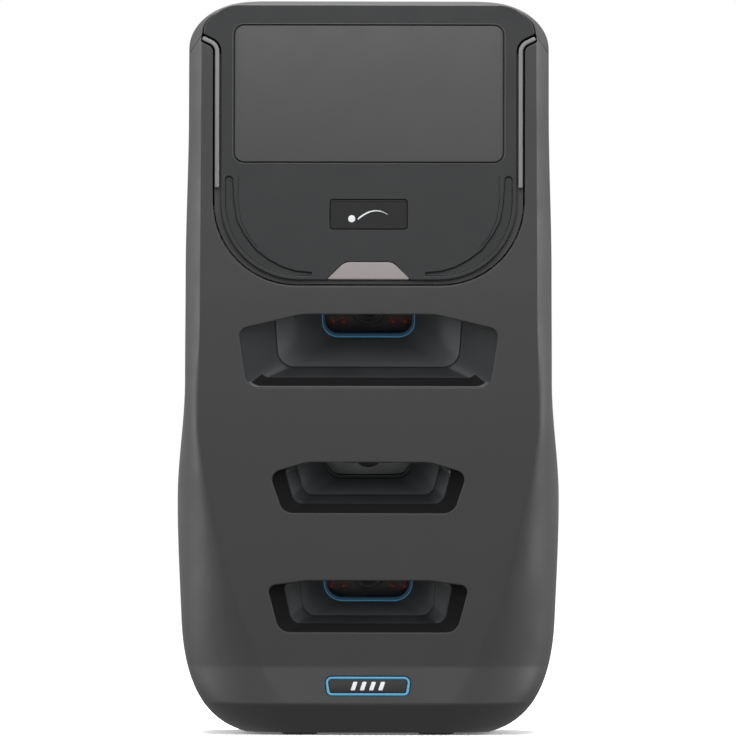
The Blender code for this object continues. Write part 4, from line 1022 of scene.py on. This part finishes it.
def build_port_door():
    put = on(facing_rear(0, HINGE_Y, HINGE_Z))
    half = BAY_HALF - 0.6
    top = BAY_Z[1] - 0.6 - HINGE_Z
    outer = HINGE_Y - REAR_Y + 0.3
    outline = rounded(((-half, 3.0, 1), (half, 3.0, 1), (half, top, 2.4), (-half, top, 2.4)), 8)
    door = slab("port_door_skin", outline, outer, -0.1, put, edge=0.6, back=0.3)
    pull = rectangle(9, top - 5.5, top - 2.5, 1.45)
    cut(door, punch("pull", pull, outer, -1.2, put, edge=0.4, floor=0.3))
    settle(door)
    finish_piece(door, "door", "rear_shell")
    tab = KNUCKLE_HALF - 0.6
    profile = bend(KNUCKLE_RADIUS - 0.3, 0.3, 0.3, 90, 0, 3) + [(KNUCKLE_RADIUS, 2 * tab)]
    profile += [(PIN_RADIUS + 0.08, 2 * tab), (PIN_RADIUS + 0.08, 0)]
    barrel = turned("port_door_barrel", profile, facing_side(tab, HINGE_Y, HINGE_Z), 40)
    finish_piece(barrel, "door", "rear_shell")
    web = slab("port_door_web", rectangle(tab, 1.6, 5.0, 0.4, steps=4), outer + 0.4, -0.2, put, edge=0.2)
    finish_piece(web, "door", "rear_shell")
    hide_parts("port_door")


def build_power_button():
    x, z = BUTTON_PLACE
    place = facing_rear(x, REAR_Y, z)
    radius = BUTTON_RADIUS
    profile = [(0, 1.15), (radius * 0.35, 1.05), (radius * 0.65, 0.75), (radius * 0.82, 0.45)]
    profile += bend(radius - 0.6, 0.85, 0.6, 90, 0, 5)
    profile += [(radius, 2.9), (radius + 1.6, 2.9), (radius + 1.6, 4.2), (2.5, 4.2), (2.5, 8.0), (0, 8.0)]
    button = turned("power_button_cap", profile, place)
    finish_piece(button, "button", "trim", ["power_button"])
    sign = arc(0, 0, 2.15, math.radians(125), math.radians(290), 32)
    sign += arc(0, 0, 1.65, math.radians(415), math.radians(-290), 32)
    ring = slab("power_button_arc", sign, 0.85, 1.25, on(place), edge=0.06)
    finish_piece(ring, "button", "mark")
    line = rectangle(0.25, 0.6, 2.9, 0.2, steps=4)
    stroke = slab("power_button_stroke", line, 0.75, 1.25, on(place), edge=0.06)
    finish_piece(stroke, "button", "mark")


def build_handle():
    behind = 75.0
    depth = behind - TRAY_FRONT_Y
    put = on(facing_rear(0, behind, 0))
    outer = rectangle(TRAY_HALF, *TRAY_Z, 5.7, steps=12)
    tray = slab("handle_tray_skin", outer, 0, depth, put, edge=0, back=2.0)
    inner = rectangle(TRAY_HALF - TRAY_WALL, TRAY_Z[0] + TRAY_WALL, TRAY_Z[1] - TRAY_WALL, 4.1, steps=12)
    cut(tray, punch("hollow", inner, -2, depth - TRAY_WALL, put, edge=0, floor=3.0))
    keep(tray, casing_form("limit", 0.5))
    start = 50.0
    side = facing_side(start, GRIP_Y, GRIP_Z)
    cut(tray, rod("sockets", PEG_RADIUS + GAP, 0, 2 * start, side))
    settle(tray)
    finish_piece(tray, "housing", "hood", ["handle_tray"])
    reach = TRAY_HALF - TRAY_WALL - GAP
    bar = rounded(((-6.5, -8.5, 5), (6.5, -8.5, 5), (6.5, 8.5, 5), (-6.5, 8.5, 5)), 8)
    pitch = 2 * (reach - GRIP_PLAIN_END) / GRIP_RIBS
    end = ((0.0, 0.8), (0.4, 0.25), (0.9, 0.0))
    stations = list(end)
    for rib in range(GRIP_RIBS):
        for share, inset in ((0.0, 0.0), (0.18, 0.55), (0.4, 0.55), (0.58, 0.0)):
            stations.append((GRIP_PLAIN_END + pitch * (rib + share), inset))
    stations += [(2 * reach - along, inset) for along, inset in reversed(end)]
    grip = loft("handle_grip_skin", [
        on(side)(offset(bar, -inset), start - reach + along) for along, inset in stations
    ])
    join(grip, rod("peg", PEG_RADIUS, start - TRAY_HALF, start + TRAY_HALF, side))
    settle(grip, 40)
    finish_piece(grip, "housing", "rubber", ["handle_grip"])


def build_screws():
    """The case screws, each with a rounded head and a six-sided socket."""
    profile = [(0, 0.0)] + bend(HEAD_RADIUS - 0.5, 0.5, 0.5, 90, 0, 4)
    profile += [(HEAD_RADIUS, HEAD_HEIGHT), (SHANK_RADIUS, HEAD_HEIGHT)]
    profile += [(SHANK_RADIUS, SCREW_LENGTH - 0.6), (0, SCREW_LENGTH)]
    for index, (x, z) in enumerate(SCREW_PLACES):
        place = facing_rear(x, SCREW_TOP_Y, z)
        screw = turned(f"case_screw_{index + 1}_skin", profile, place, 40)
        cut(screw, slab("socket", circle(1.35, steps=6), -1, 1.3, on(place), edge=0))
        settle(screw)
        finish_piece(screw, "housing", "steel", [f"case_screw_{index + 1}"])


def build_thumbwheel():
    """The levelling wheel, with scalloped grips round a plain hub."""
    place = facing_up(0, FOOT_Y, 0)
    low, high = WHEEL_Z
    outline = []
    for index in range(WHEEL_TEETH * 6):
        turn = 2 * math.pi * index / (WHEEL_TEETH * 6)
        reach = WHEEL_RADIUS - TOOTH_DEPTH + TOOTH_DEPTH * math.cos(turn * WHEEL_TEETH)
        outline.append((reach * math.cos(turn), reach * math.sin(turn)))
    put = on(place)
    edge = ((0.955, 0.0), (0.985, 0.25), (1.0, 0.8))
    levels = [(share, drop - high) for share, drop in edge]
    levels += [(share, -low - drop) for share, drop in reversed(edge)]
    rings = [put([(x * share, y * share) for x, y in outline], depth) for share, depth in levels]
    wheel = loft("foot_thumbwheel_skin", rings)
    cut(wheel, rod("bore", POST_RADIUS + 0.1, -high - 2, -low + 2, place, 48))
    settle(wheel)
    finish_piece(wheel, "thumbwheel", "trim", ["foot_thumbwheel"])


# ---------------------------------------------------------------- CAD nodes that stay

KEPT = {
    "shell": ("base_plate",),
    "hood": ("port_bay", "power_inlet"),
    "steel": (
        "port_door_pin", "usb_c_port", "foot_post",
        "base_screw_1", "base_screw_2", "base_screw_3", "base_screw_4",
    ),
    "metal": ("optical_frame", "heat_sink", "ethernet_jack", "foot_bracket", "display_module"),
    "battery": ("battery_pack",),
    "rubber": ("front_foot_left", "front_foot_right", "foot_pad"),
    "green": (
        "main_board", "port_board", "status_light_board", "power_switch_board",
        "upper_camera_board", "middle_camera_board", "lower_camera_board",
    ),
}
SOFTENED = (
    "base_plate", "port_bay", "ethernet_jack", "usb_c_port",
    "front_foot_left", "front_foot_right", "foot_bracket",
)


def dress_kept_nodes():
    """Materials for the CAD nodes that stay, and softened edges on the ones that show."""
    for look, names in KEPT.items():
        for name in names:
            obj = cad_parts[name]
            for place in obj.material_slots:
                place.material = LOOKS[look]
            if name in SOFTENED:
                weld = obj.modifiers.new("weld", "WELD")
                weld.merge_threshold = 0.01 * MM
                soft = obj.modifiers.new("soft", "BEVEL")
                soft.width = 0.25 * MM
                soft.segments = 2
                soft.limit_method = "ANGLE"
                soft.angle_limit = math.radians(50)
                soft.harden_normals = True


# ---------------------------------------------------------------- studio

CAMERA_DISTANCE = 7000.0
VIEW_WIDTH = 312.1
VIEW_MIDDLE = 155.65
CAMERA_X = -0.19
CAMERA_ROLL = math.radians(-0.1)
FOCUS_Y = FRONT_Y + 10.0
FLOOR_HALF = 9.0
WORLD_LOW, WORLD_RISE = 0.5, (-0.3, -0.03)

# Name, place, width, power in watts and height of each light.
LIGHT_AIM = (0.0, 0.0, 0.155)
LIGHTS = (
    ("key", (0.0, -0.6, 0.75), 0.6, 3.0, 0.4),
    ("fill", (0.0, -1.4, 0.7), 0.9, 4.5, 0.6),
    ("left", (-1.7, -0.1, 0.35), 0.7, 36.0, 1.6),
    ("right", (1.7, -0.1, 0.35), 0.7, 36.0, 1.6),
    ("top", (0.0, 0.3, 1.9), 1.2, 60.0, 0.8),
)


def area_light(name, at, size, power, tall):
    data = bpy.data.lights.new(name, "AREA")
    data.shape = "RECTANGLE"
    data.size = size
    data.size_y = tall
    data.energy = power
    light = new_object(name, data)
    light.location = at
    light.rotation_euler = (Vector(LIGHT_AIM) - Vector(at)).to_track_quat("-Z", "Y").to_euler()


def build_studio():
    """A white world that is dimmer below the horizon, area lights, and a pale floor."""
    scene = bpy.context.scene
    scene.view_settings.view_transform = "Standard"
    world = bpy.data.worlds.new("studio")
    scene.world = world
    world.use_nodes = True
    where = add_node(world, "ShaderNodeTexCoord")
    split = add_node(world, "ShaderNodeSeparateXYZ", Vector=where.outputs["Generated"])
    strength = ranged(world, split.outputs["Z"], WORLD_LOW, 1.0, *WORLD_RISE)
    strength.node.interpolation_type = "SMOOTHSTEP"
    background = world.node_tree.nodes["Background"]
    world.node_tree.links.new(strength, background.inputs["Strength"])
    background.inputs["Color"].default_value = (1.0, 1.0, 1.0, 1.0)
    for light in LIGHTS:
        area_light(*light)
    shape = bmesh.new()
    bmesh.ops.create_grid(shape, x_segments=1, y_segments=1, size=FLOOR_HALF)
    mesh = bpy.data.meshes.new("floor")
    shape.to_mesh(mesh)
    shape.free()
    floor = new_object("floor", mesh)
    paper = surface(
        "floor", (0.9, 0.9, 0.9), 0.8, size=2.0, relief=0.02, patch=0.0, emission=(1, 1, 1), strength=0.12
    )
    mesh.materials.append(paper)
    floor.visible_diffuse = False
    floor.visible_glossy = False


def build_camera_view():
    """A long lens straight in front, at the middle of the object's height."""
    data = bpy.data.cameras.new("camera")
    camera = new_object("camera", data)
    data.sensor_width = 36.0
    data.lens = data.sensor_width * (CAMERA_DISTANCE + FOCUS_Y) / VIEW_WIDTH
    camera.location = (CAMERA_X * MM, -CAMERA_DISTANCE * MM, VIEW_MIDDLE * MM)
    camera.rotation_euler = (math.pi / 2, CAMERA_ROLL, 0)
    data.clip_end = 100.0
    bpy.context.scene.camera = camera


# ---------------------------------------------------------------- the whole scene

build_camera_view()
build_studio()
build_front_shell()
build_rear_shell()
build_bezel()
build_display()
build_upper_badge()
build_trims()
build_lower_badge()
for aperture_key, aperture_sizes in APERTURES.items():
    build_hood(aperture_key, aperture_sizes)
    build_camera(aperture_key, aperture_sizes)
    if aperture_key != "middle":
        build_led_board(aperture_key, aperture_sizes)
build_port_door()
build_power_button()
build_handle()
build_screws()
build_thumbwheel()
dress_kept_nodes()
